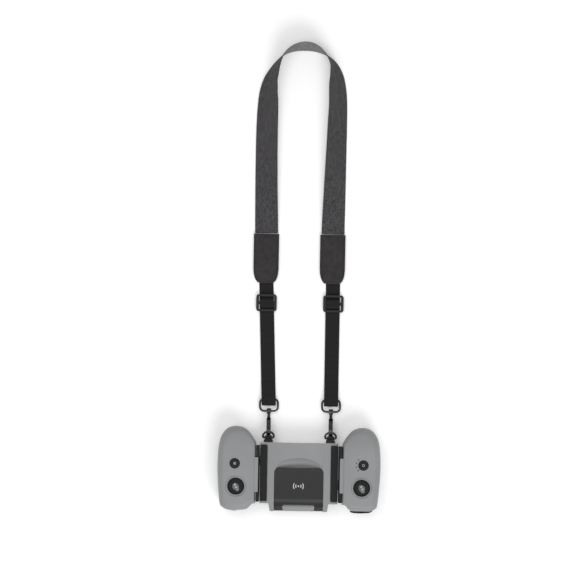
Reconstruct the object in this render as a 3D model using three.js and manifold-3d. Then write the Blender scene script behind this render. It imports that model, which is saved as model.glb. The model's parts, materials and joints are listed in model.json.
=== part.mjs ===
// A telescopic radio controller that clamps a phone between two grips, with its neck strap.
// Millimetres. +Z is the front face, +Y points to the strap, the back rests on z = 0.
import * as THREE from "three";
import { mergeVertices } from "three/addons/utils/BufferGeometryUtils.js";
import Module from "manifold-3d";

const wasm = await Module();
wasm.setup();

// ---------------------------------------------------------------- driving dimensions
const GAP = 0.3; // running gap between neighbouring pieces
const WALL = 2; // moulded wall of every casing

// Grips
const GRIP_BACK_Z = 0;
const GRIP_FRONT_Z = 38;
const GRIP_SPLIT_Z = 19; // joint line between a grip's two shells
const GRIP_INNER_X = 45.4; // inner face of each grip, against its jaw
const STICK_X = 65.9;
const STICK_Y = -17.8;
const BUTTON_X = 67.4;
const BUTTON_Y = 6.1;

// Centre body
const CENTRE_HALF = 41;
const CENTRE_NEAR_Y = 27.8; // strap side
const CENTRE_FAR_Y = -35.6;
const CENTRE_BACK_Z = 8;
const CENTRE_FRONT_Z = 28;
const CENTRE_SPLIT_Z = 18;
const SNOUT_HALF = 30; // the part that carries the flap's hinge
const SNOUT_Y = -43.8;

// Rack and pinion between the grips
const PINION_Y = -4;
const MODULE = 1;
const PINION_TEETH = 12;
const PITCH_R = (MODULE * PINION_TEETH) / 2;
const TONGUE_Z0 = 13;
const TONGUE_Z1 = 17;
const TONGUE_WIDTH = 12;
const TONGUE_REACH = 30; // how far a tongue passes the middle of the centre body when closed

// Antenna flap
const FLAP_HALF = 25.6;
const FLAP_TOP_Y = 1.8;
const FLAP_LIP_Y = -36.2; // far edge of the panel between the legs
const FLAP_BACK_Z = 23;
const FLAP_FRONT_Z = 28.5;
const FLAP_BEND_Y = -29.4;
const LEG_INNER_X = 16.6;
const HINGE_Y = -39.5;
const HINGE_Z = 20;
const BARREL_R = 3.9;
const HINGE_PIN_R = 1.2;

// Sticks: a dome on two crossed axes
const PIVOT_Z = 29;
const DOME_R = 11.4;
const DOME_WALL = 1.5;
const DOME_RIM_ANGLE = (24 * Math.PI) / 180; // height of the dome's rim, seen from the pivot
const TIP_R = 3.6;

// Strap hardware
const RING_X = 32.7; // D-ring centres
const RING_AXIS_Y = 32.9;
const RING_AXIS_Z = 12;
const WIRE_R = 0.95;
const EYE_BAR_Y = 60.7; // bar of the webbing ring that the hook holds
const EYE_Z = 3.6;
const GLIDE_Y0 = 165.4;
const GLIDE_Y1 = 183.5;
const TAB_Y0 = 195.7;
const TAB_Y1 = 247.2;
const LOWER_WIDTH = 15;
const NECK_WIDTH = 25;
const NECK_THICK = 1.6;

// ---------------------------------------------------------------- colours
const finish = (color, roughness, metalness = 0) =>
  new THREE.MeshStandardMaterial({ color, roughness, metalness });
const GREY = finish(0x97989a, 0.55);
const BLACK = finish(0x333132, 0.5);
const RUBBER = finish(0x343434, 0.85);
const GLOSS = finish(0x141414, 0.2);
const STEEL = finish(0xb9bcc0, 0.35, 1);
const DARK_METAL = finish(0x2a2a2c, 0.35, 1);
const NYLON = finish(0x8f8f88, 0.6);
const BOARD = finish(0x1f5a38, 0.6);
const FOIL = finish(0x7a7d80, 0.5);
const LENS = finish(0xe8e8e8, 0.3);
const WEB = finish(0x282828, 0.9);
const HEATHER = finish(0x484848, 0.95);
const LEATHER = finish(0x3a3839, 0.7);

// ---------------------------------------------------------------- solids
const V3 = (x, y, z) => new THREE.Vector3(x, y, z);

function toSolid(geometry) {
  const bare = geometry.clone();
  bare.deleteAttribute("normal");
  bare.deleteAttribute("uv");
  const merged = mergeVertices(bare, 1e-4);
  const vertProperties = new Float32Array(merged.attributes.position.array);
  return new wasm.Manifold(new wasm.Mesh({ numProp: 3, vertProperties, triVerts: new Uint32Array(merged.index.array) }));
}

function toGeometry(made) {
  const mesh = made.getMesh();
  const geometry = new THREE.BufferGeometry();
  geometry.setAttribute("position", new THREE.BufferAttribute(mesh.vertProperties, 3));
  geometry.setIndex(new THREE.BufferAttribute(mesh.triVerts, 1));
  return geometry;
}

const cut = (body, ...tools) =>
  toGeometry(tools.reduce((left, tool) => left.subtract(toSolid(tool)), toSolid(body)));
const join = (body, ...others) =>
  toGeometry(others.reduce((sum, other) => sum.add(toSolid(other)), toSolid(body)));
const common = (body, ...others) =>
  toGeometry(others.reduce((rest, other) => rest.intersect(toSolid(other)), toSolid(body)));

// A box between two corners.
function block(x0, x1, y0, y1, z0, z1) {
  const box = new THREE.BoxGeometry(x1 - x0, y1 - y0, z1 - z0);
  return box.translate((x0 + x1) / 2, (y0 + y1) / 2, (z0 + z1) / 2);
}

// A round bar along one axis, from one place on that axis to another.
function rod(axis, from, to, radius, centre, sides = 20) {
  const bar = new THREE.CylinderGeometry(radius, radius, to - from, sides);
  bar.translate(0, (from + to) / 2, 0);
  if (axis === "x") bar.rotateZ(-Math.PI / 2);
  if (axis === "z") bar.rotateX(Math.PI / 2);
  return bar.translate(...centre);
}

// A flat outline given as [x, y] corners, or as a Shape, raised from z0 to z1.
function prism(outline, z0, z1, curveSegments = 6) {
  const shape = Array.isArray(outline) ? new THREE.Shape(outline.map(([x, y]) => new THREE.Vector2(x, y))) : outline;
  const slab = new THREE.ExtrudeGeometry(shape, { depth: z1 - z0, bevelEnabled: false, curveSegments });
  return slab.translate(0, 0, z0);
}

// A side profile given as [y, z] corners or a Shape, drawn out along X.
function sideProfile(outline, x0, x1, curveSegments = 6) {
  const slab = prism(outline, x0, x1, curveSegments);
  return slab.applyMatrix4(new THREE.Matrix4().makeBasis(V3(0, 1, 0), V3(0, 0, 1), V3(1, 0, 0)));
}

function roundedRectangle(x0, x1, y0, y1, radius, path = new THREE.Shape()) {
  path.moveTo(x0 + radius, y0);
  path.lineTo(x1 - radius, y0).absarc(x1 - radius, y0 + radius, radius, -Math.PI / 2, 0);
  path.lineTo(x1, y1 - radius).absarc(x1 - radius, y1 - radius, radius, 0, Math.PI / 2);
  path.lineTo(x0 + radius, y1).absarc(x0 + radius, y1 - radius, radius, Math.PI / 2, Math.PI);
  path.lineTo(x0, y0 + radius).absarc(x0 + radius, y0 + radius, radius, Math.PI, 1.5 * Math.PI);
  return path;
}

const flatFace = (outline) => THREE.ShapeUtils.triangulateShape(outline, []);

// Triangles that run across an outline in rows from its lowest y to its highest, so that a face
// whose height follows y stays true between its two sides.
function facedInRows(outline) {
  const count = outline.length;
  const ys = outline.map((p) => p.y);
  let right = ys.indexOf(Math.min(...ys));
  let left = right;
  const top = ys.indexOf(Math.max(...ys));
  const triangles = [];
  while (right !== top || left !== top) {
    const nextRight = (right + 1) % count;
    const nextLeft = (left + count - 1) % count;
    const takeRight = left === top || (right !== top && ys[nextRight] <= ys[nextLeft]);
    const next = takeRight ? nextRight : nextLeft;
    if (next !== (takeRight ? left : right)) triangles.push([left, right, next]);
    if (takeRight) right = next;
    else left = next;
  }
  return triangles.filter(([a, b]) => a !== b);
}

// A skin through rings of equal length; faces are the triangles of its two end faces.
function loft(rings, faces) {
  const count = rings[0].length;
  const positions = rings.flat().flatMap((p) => [p.x, p.y, p.z]);
  const index = [];
  for (let r = 0; r + 1 < rings.length; r += 1) {
    for (let i = 0; i < count; i += 1) {
      const a = r * count + i;
      const b = r * count + ((i + 1) % count);
      index.push(a, b, b + count, a, b + count, a + count);
    }
  }
  const last = (rings.length - 1) * count;
  for (const [a, b, c] of faces) {
    index.push(c, b, a);
    index.push(last + a, last + b, last + c);
  }
  const geometry = new THREE.BufferGeometry();
  geometry.setAttribute("position", new THREE.Float32BufferAttribute(positions, 3));
  geometry.setIndex(index);
  return geometry;
}

// An outline moved inwards by a distance, along the mean of its neighbouring edges' normals.
// stay gives, from the inward normal, the share of the distance that a stretch doesn't move.
function inset(outline, distance, stay) {
  return outline.map((point, i) => {
    const before = outline[(i + outline.length - 1) % outline.length];
    const after = outline[(i + 1) % outline.length];
    const first = point.clone().sub(before).normalize();
    const second = after.clone().sub(point).normalize();
    const normal = new THREE.Vector2(-first.y - second.y, first.x + second.x).normalize();
    const stretch = Math.min(1.5, 1 / Math.max(0.5, normal.dot(new THREE.Vector2(-second.y, second.x))));
    return point.clone().addScaledVector(normal, distance * stretch * (1 - stay(normal)));
  });
}

// A body whose edges are rounded: levels are [z, distance that the outline is drawn in].
function roundedBody(outline, levels, faces, stay) {
  const rings = levels.map(([z, distance]) => inset(outline, distance, stay).map((p) => V3(p.x, p.y, z)));
  return loft(rings, faces);
}

// A round wire bent into a closed flat loop; the path lies in X and Y, at height z.
function wireLoop(path, z, radius, sides = 6) {
  const count = path.length;
  const positions = [];
  const index = [];
  path.forEach((point, i) => {
    const along = path[(i + 1) % count].clone().sub(path[(i + count - 1) % count]).normalize();
    for (let k = 0; k < sides; k += 1) {
      const turn = (2 * Math.PI * k) / sides;
      const out = radius * Math.cos(turn);
      positions.push(point.x + along.y * out, point.y - along.x * out, z + radius * Math.sin(turn));
      const a = i * sides + k;
      const b = i * sides + ((k + 1) % sides);
      const c = ((i + 1) % count) * sides + k;
      const d = ((i + 1) % count) * sides + ((k + 1) % sides);
      index.push(a, c, b, b, c, d);
    }
  });
  const geometry = new THREE.BufferGeometry();
  geometry.setAttribute("position", new THREE.Float32BufferAttribute(positions, 3));
  geometry.setIndex(index);
  return geometry;
}

// A closed loop's points without the repeated last one.
function loopPoints(path, divisions) {
  const points = path.getPoints(divisions);
  return points.filter((p, i) => p.distanceTo(points[(i + 1) % points.length]) > 1e-6);
}

// ---------------------------------------------------------------- grips
// Every grip piece is drawn for the right hand; the left hand's pieces are mirrored in x.
function gripOutline() {
  const path = new THREE.Path();
  const at = ([u, v]) => new THREE.Vector2(STICK_X + u, STICK_Y + v);
  const farEnd = [[-17, -18.8], [-13, -23], [-9.6, -24.6], [0, -25.4], [8, -25.2], [14.6, -21.9], [16.9, -17.2]];
  const outerSide = [[18.8, 3], [19.6, 21], [19, 37.5]];
  const lobe = [[17.2, 48.6], [14, 55.6], [8.2, 60.9], [-0.8, 62.6], [-9.6, 59.8], [-16, 52.9], [-20.5, 45.4]];
  path.moveTo(GRIP_INNER_X, STICK_Y + 45.4);
  for (const v of [40, 34, 28, 5, -18.1]) path.lineTo(GRIP_INNER_X, STICK_Y + v);
  path.splineThru([...farEnd, ...outerSide, ...lobe].map(at));
  return loopPoints(path, 2);
}

// The palm lobe grows thinner towards the strap, on both faces.
function thinLobe(geometry) {
  const position = geometry.attributes.position;
  const start = STICK_Y + 28;
  const reach = 34;
  for (let i = 0; i < position.count; i += 1) {
    const share = Math.max(0, (position.getY(i) - start) / reach) ** 2;
    const z = position.getZ(i);
    const drop = z > GRIP_SPLIT_Z ? -8 : 6;
    position.setZ(i, z + (drop * share * Math.abs(z - GRIP_SPLIT_Z)) / GRIP_SPLIT_Z);
  }
  return geometry;
}

const GRIP = gripOutline();
const SCREW_PLACE = [STICK_X - 2, STICK_Y + 47, 0];
const FRONT_LEVELS = [[19.15, 0], [29, 0.3], [33, 1.1], [35.8, 2.8], [37.4, 4.8], [GRIP_FRONT_Z, 7]];
const BACK_LEVELS = [[GRIP_BACK_Z, 11], [1, 7.5], [3.5, 4], [7.5, 1.6], [12.5, 0.3], [18.85, 0]];

function gripShell(levels, hollowLevels) {
  const faces = facedInRows(GRIP);
  const sharpInside = (normal) => 0.7 * Math.max(0, normal.x) ** 2;
  const outer = thinLobe(roundedBody(GRIP, levels, faces, sharpInside));
  const hollow = thinLobe(roundedBody(GRIP, hollowLevels, faces, sharpInside));
  return { outer, hollow };
}

const tongueSlot = (side) => {
  const [near, far] = tongueSpan(side);
  return block(40, 50, Math.min(near, far) - GAP, Math.max(near, far) + GAP, TONGUE_Z0 - GAP, TONGUE_Z1 + GAP);
};

function gripFront(side) {
  const hollowLevels = [[19, 2], [29, 2.3], [33, 3.1], [35, 5], [GRIP_FRONT_Z - WALL, 8]];
  const { outer, hollow } = gripShell(FRONT_LEVELS, hollowLevels);
  const flange = block(42.9, 49, -23.6, 12.7, 33.8, 37.2);
  const stickHole = rod("z", 30, 40, 9.6, [STICK_X, STICK_Y, 0], 28);
  const stickRecess = rod("z", 36.9, 40, 10.85, [STICK_X, STICK_Y, 0], 28);
  const buttonHole = rod("z", 30, 40, 5.5, [BUTTON_X, BUTTON_Y, 0], 20);
  const tools = [hollow, stickHole, stickRecess, buttonHole];
  if (side === "right") tools.push(...lightPlaces().map(([x, y]) => rod("z", 30, 40, 0.75, [x, y, 0], 8)));
  if (side === "right") tools.push(shoulderSlot(), shoulderNotch());
  return cut(join(outer, flange), ...tools);
}

function gripBack(side) {
  const hollowLevels = [[2, 10.5], [3.2, 8.4], [5.5, 5.6], [9, 3.5], [13, 2.3], [19, 2]];
  const { outer, hollow } = gripShell(BACK_LEVELS, hollowLevels);
  const boss = rod("z", 2.5, 18, 4.4, SCREW_PLACE, 12);
  const screwHole = rod("z", -1, 16.5, 1.9, SCREW_PLACE, 12);
  const headSeat = rod("z", -1, 5, 3.2, SCREW_PLACE, 12);
  const edgeSlot = side === "right" ? shoulderSlot() : dialSlot();
  return cut(join(cut(outer, hollow), boss), screwHole, headSeat, tongueSlot(side), edgeSlot);
}

function jaw() {
  const ends = [[-33.9, -23.9], [13, 25.4]];
  const bar = block(42, 45.1, ends[0][0], ends[1][1], 24, 33.5);
  const lip = block(41.3, 42.5, ends[0][0], ends[1][1], 24, 27.5);
  return join(bar, lip, ...ends.map(([y0, y1]) => block(42, 45.1, y0, y1, 33, 36.5)));
}

// Four charge lights on an arc beside the right button.
function lightPlaces() {
  const spread = [133, 163, 195, 224].map((degrees) => (degrees * Math.PI) / 180);
  return spread.map((turn) => [BUTTON_X + 7.6 * Math.cos(turn), BUTTON_Y + 7.6 * Math.sin(turn)]);
}

function lightGuide() {
  const plate = block(BUTTON_X - 9.2, BUTTON_X - 4, BUTTON_Y - 7, BUTTON_Y + 7, 32.2, 33.2);
  const cleared = cut(plate, rod("z", 30, 34, 6.6, [BUTTON_X, BUTTON_Y, 0]));
  return join(cleared, ...lightPlaces().map(([x, y]) => rod("z", 33, GRIP_FRONT_Z + 0.05, 0.45, [x, y, 0], 8)));
}

// ---------------------------------------------------------------- buttons, dial, stick
function faceButton() {
  const cap = rod("z", 34.4, GRIP_FRONT_Z + 0.5, 5.2, [0, 0, 0]);
  const rim = rod("z", 34.4, 35.6, 6.2, [0, 0, 0]);
  const dish = new THREE.SphereGeometry(14, 20, 16).translate(0, 0, GRIP_FRONT_Z + 13.9);
  return cut(join(cap, rim), dish).translate(BUTTON_X, BUTTON_Y, 0);
}

function buttonBoard() {
  const plate = block(-7.5, 7.5, -6.5, 6.5, 29.8, 31);
  return join(plate, block(-2.5, 2.5, -2.5, 2.5, 30.9, 33.2)).translate(BUTTON_X, BUTTON_Y, 0);
}

const DIAL_X = STICK_X + 2;
const DIAL_Y = -35.6;
const DIAL_R = 9;
const DIAL_Z0 = 9.5;
const DIAL_Z1 = 16.5;

function dial() {
  const outline = [];
  const ribs = 24;
  for (let i = 0; i < ribs * 2; i += 1) {
    const radius = DIAL_R - (i % 2) * 0.5;
    const turn = (Math.PI * i) / ribs;
    outline.push([radius * Math.cos(turn), radius * Math.sin(turn)]);
  }
  const wheel = prism(outline, DIAL_Z0, DIAL_Z1);
  return cut(wheel, rod("z", 5, 20, 1.8, [0, 0, 0], 12)).translate(DIAL_X, DIAL_Y, 0);
}

function dialSlot() {
  return block(DIAL_X - 9.6, DIAL_X + 9.6, DIAL_Y - 12, DIAL_Y + 1, DIAL_Z0 - 0.6, DIAL_Z1 + 0.6);
}

function dialEncoder() {
  const plate = block(-6, 6, -1.6, 9, 6.6, 8.6);
  return join(plate, rod("z", 8, 17.5, 1.4, [0, 0, 0], 12)).translate(DIAL_X, DIAL_Y, 0);
}

const SHOULDER = { x0: STICK_X - 12, x1: STICK_X + 12, z0: 10, z1: 26 };

function shoulderSlot() {
  return block(SHOULDER.x0 - 0.5, SHOULDER.x1 + 0.5, -50, -37.6, SHOULDER.z0 - 0.5, SHOULDER.z1 + 0.5);
}

// Above its slot the edge is cut back, so that the button shows from the front.
function shoulderNotch() {
  return block(SHOULDER.x0 - 0.5, SHOULDER.x1 + 0.5, -50, -42.2, SHOULDER.z1, 40);
}

function shoulderButton() {
  const face = [[-11.9, -40.9], [-11.6, -43.6], [-8, -44.6], [0, -44.8], [8, -44.3], [11.9, -42.6], [11.9, -40.2]];
  const bar = prism(face.map(([u, y]) => [STICK_X + u, y]), SHOULDER.z0, SHOULDER.z1);
  const stop = block(STICK_X - 8, STICK_X + 8, -41.5, -36.5, 14, 18.4);
  return join(bar, stop);
}

function stickHousing() {
  const box = block(-13.2, 13.2, -13.2, 13.2, 19.5, 33.2);
  const room = block(-12, 12, -12, 12, 21, 34);
  const pivots = rod("x", -14, 14, 1.3, [0, 0, PIVOT_Z], 12);
  return cut(box, room, pivots).translate(STICK_X, STICK_Y, 0);
}

function stickYoke() {
  const ring = cut(rod("z", 27.6, 30.4, 7, [0, 0, 0], 24), rod("z", 27, 31, 5.4, [0, 0, 0], 24));
  const arms = [[-12.9, -6], [6, 12.9]].map(([from, to]) => rod("x", from, to, 1, [0, 0, PIVOT_Z], 10));
  const bores = rod("y", -8, 8, 1.1, [0, 0, PIVOT_Z], 10);
  return cut(join(ring, ...arms), bores).translate(STICK_X, STICK_Y, 0);
}

function stick() {
  const profile = [];
  const steps = 6;
  const arc = (radius, from, to) => {
    for (let i = 0; i <= steps; i += 1) {
      const turn = from + ((to - from) * i) / steps;
      profile.push(new THREE.Vector2(radius * Math.cos(turn), PIVOT_Z + radius * Math.sin(turn)));
    }
  };
  const top = Math.PI / 2;
  arc(DOME_R, DOME_RIM_ANGLE, top);
  arc(DOME_R - DOME_WALL, top, DOME_RIM_ANGLE);
  profile.push(profile[0].clone());
  for (const point of profile) if (point.x < 1e-6) point.x = 0;
  const dome = new THREE.LatheGeometry(profile, 20).rotateX(Math.PI / 2);
  const stem = rod("z", 23, 39.5, 2.2, [0, 0, 0], 12);
  const pins = rod("y", -6.8, 6.8, 0.8, [0, 0, PIVOT_Z], 10);
  return join(dome, stem, pins).translate(STICK_X, STICK_Y, 0);
}

function stickTip() {
  const profile = [[0, 40.7], [2.4, 40.7], [2.2, 41.8], [TIP_R, 43.6], [TIP_R, 45], [3.1, 45.6], [1.9, 45.2], [0, 45]];
  const tip = new THREE.LatheGeometry(profile.map(([r, z]) => new THREE.Vector2(r, z)), 20);
  return tip.rotateX(Math.PI / 2).translate(STICK_X, STICK_Y, 0);
}

const battery = () => block(STICK_X - 9, STICK_X + 9, STICK_Y + 20, STICK_Y + 42, 7, 18);

function gripScrew() {
  return join(rod("z", 3.1, 4.7, 2.7, SCREW_PLACE, 12), rod("z", 4.5, 15.8, 1.5, SCREW_PLACE, 10));
}

// ---------------------------------------------------------------- rack and pinion
// Distances of a tongue's two long edges from the pinion's axis, as y values for one side.
function tongueSpan(side) {
  const direction = side === "right" ? -1 : 1;
  const root = PITCH_R + 1.2 * MODULE;
  return [PINION_Y + direction * root, PINION_Y + direction * (root + TONGUE_WIDTH - 2)];
}

function rack(side) {
  const direction = side === "right" ? -1 : 1;
  const [root, back] = tongueSpan(side);
  const tip = PINION_Y + direction * (PITCH_R - 0.8 * MODULE);
  const pitch = Math.PI * MODULE;
  const outline = [[-38.6, back], [-38.6, root]];
  for (let tooth = -12; tooth <= 0; tooth += 1) {
    const x = tooth * pitch;
    outline.push([x - 0.95, root], [x - 0.32, tip], [x + 0.32, tip], [x + 0.95, root]);
  }
  outline.push([47.6, root], [47.6, back]);
  return prism(outline, TONGUE_Z0, TONGUE_Z1);
}

function pinion() {
  const outline = [];
  const step = (2 * Math.PI) / PINION_TEETH;
  const corners = [[4.7, -0.13], [6, -0.09], [6.75, -0.04], [6.75, 0.04], [6, 0.09], [4.7, 0.13]];
  for (let tooth = 0; tooth < PINION_TEETH; tooth += 1) {
    const middle = (tooth + 0.5) * step;
    for (const [radius, turn] of corners) {
      outline.push([radius * Math.cos(middle + turn), radius * Math.sin(middle + turn)]);
    }
  }
  const gear = prism(outline, TONGUE_Z0 - 0.2, TONGUE_Z1 + 0.2);
  return cut(gear, rod("z", 10, 20, 1.8, [0, 0, 0], 16)).translate(0, PINION_Y, 0);
}

// A flat spiral round the axle; its outer end holds the case, its inner end turns the pinion.
function clockSpring() {
  const turns = 4;
  const steps = 48;
  const half = 0.3;
  const edge = [1, -1].map((side) => {
    const points = [];
    for (let i = 0; i <= steps; i += 1) {
      const share = i / steps;
      const radius = 3.4 + 7.6 * share + side * half;
      points.push([radius * Math.cos(2 * Math.PI * turns * share), radius * Math.sin(2 * Math.PI * turns * share)]);
    }
    return points;
  });
  return prism([...edge[0], ...edge[1].reverse()], 10.6, 12.3).translate(0, PINION_Y, 0);
}

// ---------------------------------------------------------------- centre body
const CENTRE_OUTLINE = [
  [-CENTRE_HALF, CENTRE_FAR_Y],
  [-SNOUT_HALF - 1.5, CENTRE_FAR_Y],
  [-SNOUT_HALF, SNOUT_Y],
  [SNOUT_HALF, SNOUT_Y],
  [SNOUT_HALF + 1.5, CENTRE_FAR_Y],
  [CENTRE_HALF, CENTRE_FAR_Y],
  [CENTRE_HALF, CENTRE_NEAR_Y],
  [-CENTRE_HALF, CENTRE_NEAR_Y],
].map(([x, y]) => new THREE.Vector2(x, y));

// The side faces stay nearly square, so that the jaws close flat against them.
const centreLoft = (levels) =>
  roundedBody(CENTRE_OUTLINE, levels, flatFace(CENTRE_OUTLINE), (normal) => 0.7 * normal.x ** 2);

const legNotches = (z0) =>
  [-1, 1].map((side) => {
    const x = (side * (LEG_INNER_X - GAP + FLAP_HALF + GAP)) / 2;
    const half = (FLAP_HALF - LEG_INNER_X + 2 * GAP) / 2;
    return block(x - half, x + half, -50, -34.4, z0, 40);
  });

const pinBores = () =>
  [-1, 1].map((side) => rod("x", Math.min(side * 11.5, side * 29), Math.max(side * 11.5, side * 29), 1.5,
    [0, HINGE_Y, HINGE_Z], 12));

function centreFront() {
  const outer = centreLoft([[CENTRE_SPLIT_Z + 0.15, 0], [26.4, 0.1], [27.5, 0.5], [CENTRE_FRONT_Z, 1.3]]);
  const underRecess = block(-28.2, 28.2, -50, 15, 20.7, 40);
  const underHinge = block(-50, 50, -50, -33.2, 0, 40);
  const hollow = cut(centreLoft([[CENTRE_SPLIT_Z, WALL], [25.6, WALL]]), underRecess, underHinge);
  const recess = prism(roundedRectangle(-FLAP_HALF - GAP, FLAP_HALF + GAP, -60, FLAP_TOP_Y + GAP, 5.3), 22.7, 40);
  const scoop = new THREE.SphereGeometry(1, 32, 24).scale(28, 12.5, 8.5).translate(0, 1.5, 33);
  const hinge = block(-LEG_INNER_X - GAP, LEG_INNER_X + GAP, -50, -35, 18, 40);
  const padPockets = [-1, 1].map((side) =>
    block(side > 0 ? 33.1 : -45, side > 0 ? 45 : -33.1, -33.5, 26, 27.1, 40));
  const shell = cut(outer, hollow, recess, scoop, hinge, ...legNotches(10), ...padPockets);
  const barHalf = LEG_INNER_X - GAP;
  const bar = common(rod("x", -barHalf, barHalf, BARREL_R, [0, HINGE_Y, HINGE_Z], 24), block(-20, 20, -50, -30, 18.15, 30));
  const web = block(-barHalf, barHalf, -38.5, -34.6, 18.15, 22);
  return cut(join(shell, bar, web), ...pinBores());
}

function centreBack() {
  const outer = centreLoft([[CENTRE_BACK_Z, 3], [9.2, 1.1], [11, 0.2], [CENTRE_SPLIT_Z - 0.15, 0]]);
  const hollow = cut(centreLoft([[10, 3], [11, 2.2], [CENTRE_SPLIT_Z, WALL]]), block(-50, 50, -50, -33.2, 0, 40));
  const slots = ["right", "left"].map((side) => {
    const [near, far] = tongueSpan(side);
    const span = [Math.min(near, far) - GAP, Math.max(near, far) + GAP];
    const reach = side === "right" ? [38, 43] : [-43, -38];
    return block(...reach, ...span, TONGUE_Z0 - GAP, TONGUE_Z1 + GAP);
  });
  const axleSeat = rod("z", 7, 12, 1.8, [0, PINION_Y, 0], 12);
  const socketMouth = block(-5.1, 5.1, 24, 30, 11.9, 16.1);
  return cut(cut(outer, hollow), ...slots, ...legNotches(15.5), axleSeat, socketMouth);
}

const restPad = () => prism(roundedRectangle(33.4, 40.7, -33.2, 25.7, 1.6), 27.4, 29.6, 2);

const pinionAxle = () =>
  join(rod("z", 8.4, 18.2, 1.4, [0, PINION_Y, 0], 12), rod("z", 8.4, 9.4, 1.6, [0, PINION_Y, 0], 12));

const mainBoard = () => block(-36, 36, -20, 24, 18.6, 19.9);

// Shell of the charge socket, seen from the strap side.
function chargeSocket() {
  const can = block(-4.7, 4.7, 19.5, 27.4, 12.2, 15.8);
  return cut(can, block(-4.2, 4.2, 21, 29, 12.7, 15.3));
}

function ringBase() {
  const block3 = prism([[-5.1, 28.1], [5.1, 28.1], [4.3, 31.4], [-4.3, 31.4]], 9.4, 14.6);
  const lug = rod("x", -3.6, 3.6, 2.3, [0, RING_AXIS_Y, RING_AXIS_Z], 16);
  return cut(join(block3, lug), rod("x", -6, 6, 1.25, [0, RING_AXIS_Y, RING_AXIS_Z], 16)).translate(RING_X, 0, 0);
}

// ---------------------------------------------------------------- antenna flap
function flapCover() {
  const side = new THREE.Shape();
  side.moveTo(FLAP_TOP_Y, FLAP_FRONT_Z);
  side.lineTo(FLAP_BEND_Y, FLAP_FRONT_Z);
  side.quadraticCurveTo(-34.5, 28.1, -38.6, HINGE_Z + BARREL_R - 0.1);
  side.absarc(HINGE_Y, HINGE_Z, BARREL_R, 1.45, -1.1 + 2 * Math.PI);
  side.lineTo(-34.6, 23);
  side.lineTo(FLAP_TOP_Y, FLAP_BACK_Z + 1);
  const whole = sideProfile(side, -FLAP_HALF, FLAP_HALF, 10);
  const plan = prism(roundedRectangle(-FLAP_HALF, FLAP_HALF, -60, FLAP_TOP_Y, 5), 0, 40);
  const room = block(-FLAP_HALF + 1.6, FLAP_HALF - 1.6, -33, FLAP_TOP_Y - 1.6, 20, FLAP_FRONT_Z - 1.6);
  const between = block(-LEG_INNER_X, LEG_INNER_X, -50, FLAP_LIP_Y, 10, 40);
  const underLip = block(-LEG_INNER_X, LEG_INNER_X, -38, -33.4, 10, FLAP_BACK_Z);
  const underBar = rod("x", -LEG_INNER_X, LEG_INNER_X, 4.5, [0, HINGE_Y, HINGE_Z], 24);
  const bore = rod("x", -30, 30, 1.5, [0, HINGE_Y, HINGE_Z], 12);
  return cut(common(whole, plan), room, between, underLip, underBar, bore);
}

const flapInnerCover = () => prism(roundedRectangle(-23.7, 23.7, -32.7, FLAP_TOP_Y - 1.9, 3.2), 23.2, 24.6, 3);
const antennaBoard = () => block(-22, 22, -31, -2, 25.2, 26.2);

// ---------------------------------------------------------------- strap hardware
function dRing() {
  const half = 5.7;
  const path = new THREE.Path();
  path.moveTo(-half + 1.2, 0);
  path.lineTo(half - 1.2, 0).absarc(half - 1.2, 1.2, 1.2, -Math.PI / 2, 0);
  path.absellipse(0, 1.6, half, 4.5, 0, Math.PI);
  path.absarc(-half + 1.2, 1.2, 1.2, Math.PI, 1.5 * Math.PI);
  return wireLoop(loopPoints(path, 4), 0, WIRE_R);
}

// The hook is drawn level, its loop round the D-ring's bow, and then tilted down to the webbing.
const BOW_Y = RING_AXIS_Y + 6.1;
const HOOK_TILT = Math.atan2(RING_AXIS_Z - EYE_Z, EYE_BAR_Y - BOW_Y);
const HOOK_REACH = Math.hypot(RING_AXIS_Z - EYE_Z, EYE_BAR_Y - BOW_Y);
const tilted = (geometry) => geometry.rotateX(-HOOK_TILT).translate(0, BOW_Y, RING_AXIS_Z);

function hook() {
  const loop = new THREE.Shape();
  loop.moveTo(1.2, -4.9);
  loop.lineTo(11.5, -4.9).lineTo(15, -2).lineTo(15, 2).lineTo(11.5, 4.9).lineTo(1.2, 4.9);
  loop.absarc(1.2, 0, 4.9, Math.PI / 2, 1.5 * Math.PI);
  const hole = new THREE.Path();
  hole.moveTo(1.6, 2.9);
  hole.absarc(1.6, 0, 2.9, Math.PI / 2, 1.5 * Math.PI);
  hole.lineTo(10.2, -2.9).lineTo(10.2, 2.9);
  loop.holes.push(hole);
  const body = sideProfile(loop, -2.2, 2.2, 8);
  const gateway = block(-3, 3, 1, 12.2, 2.4, 6);
  const neck = rod("y", 14.5, HOOK_REACH - 2, 1.6, [0, 0, 0], 12);
  const eye = rod("x", -2.2, 2.2, 2.7, [0, HOOK_REACH, 0], 16);
  const bore = rod("x", -3, 3, 1.4, [0, HOOK_REACH, 0], 16);
  return tilted(cut(join(cut(body, gateway), neck, eye), bore));
}

const hookGate = () => tilted(block(-2, 2, 1.4, 11.6, 2.9, 4.7));

function strapRing() {
  const half = 9.45;
  const path = new THREE.Path();
  roundedRectangle(-half, half, EYE_BAR_Y, EYE_BAR_Y + 12.6, 4.2, path);
  return wireLoop(loopPoints(path, 3), EYE_Z, 1.05);
}

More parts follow.
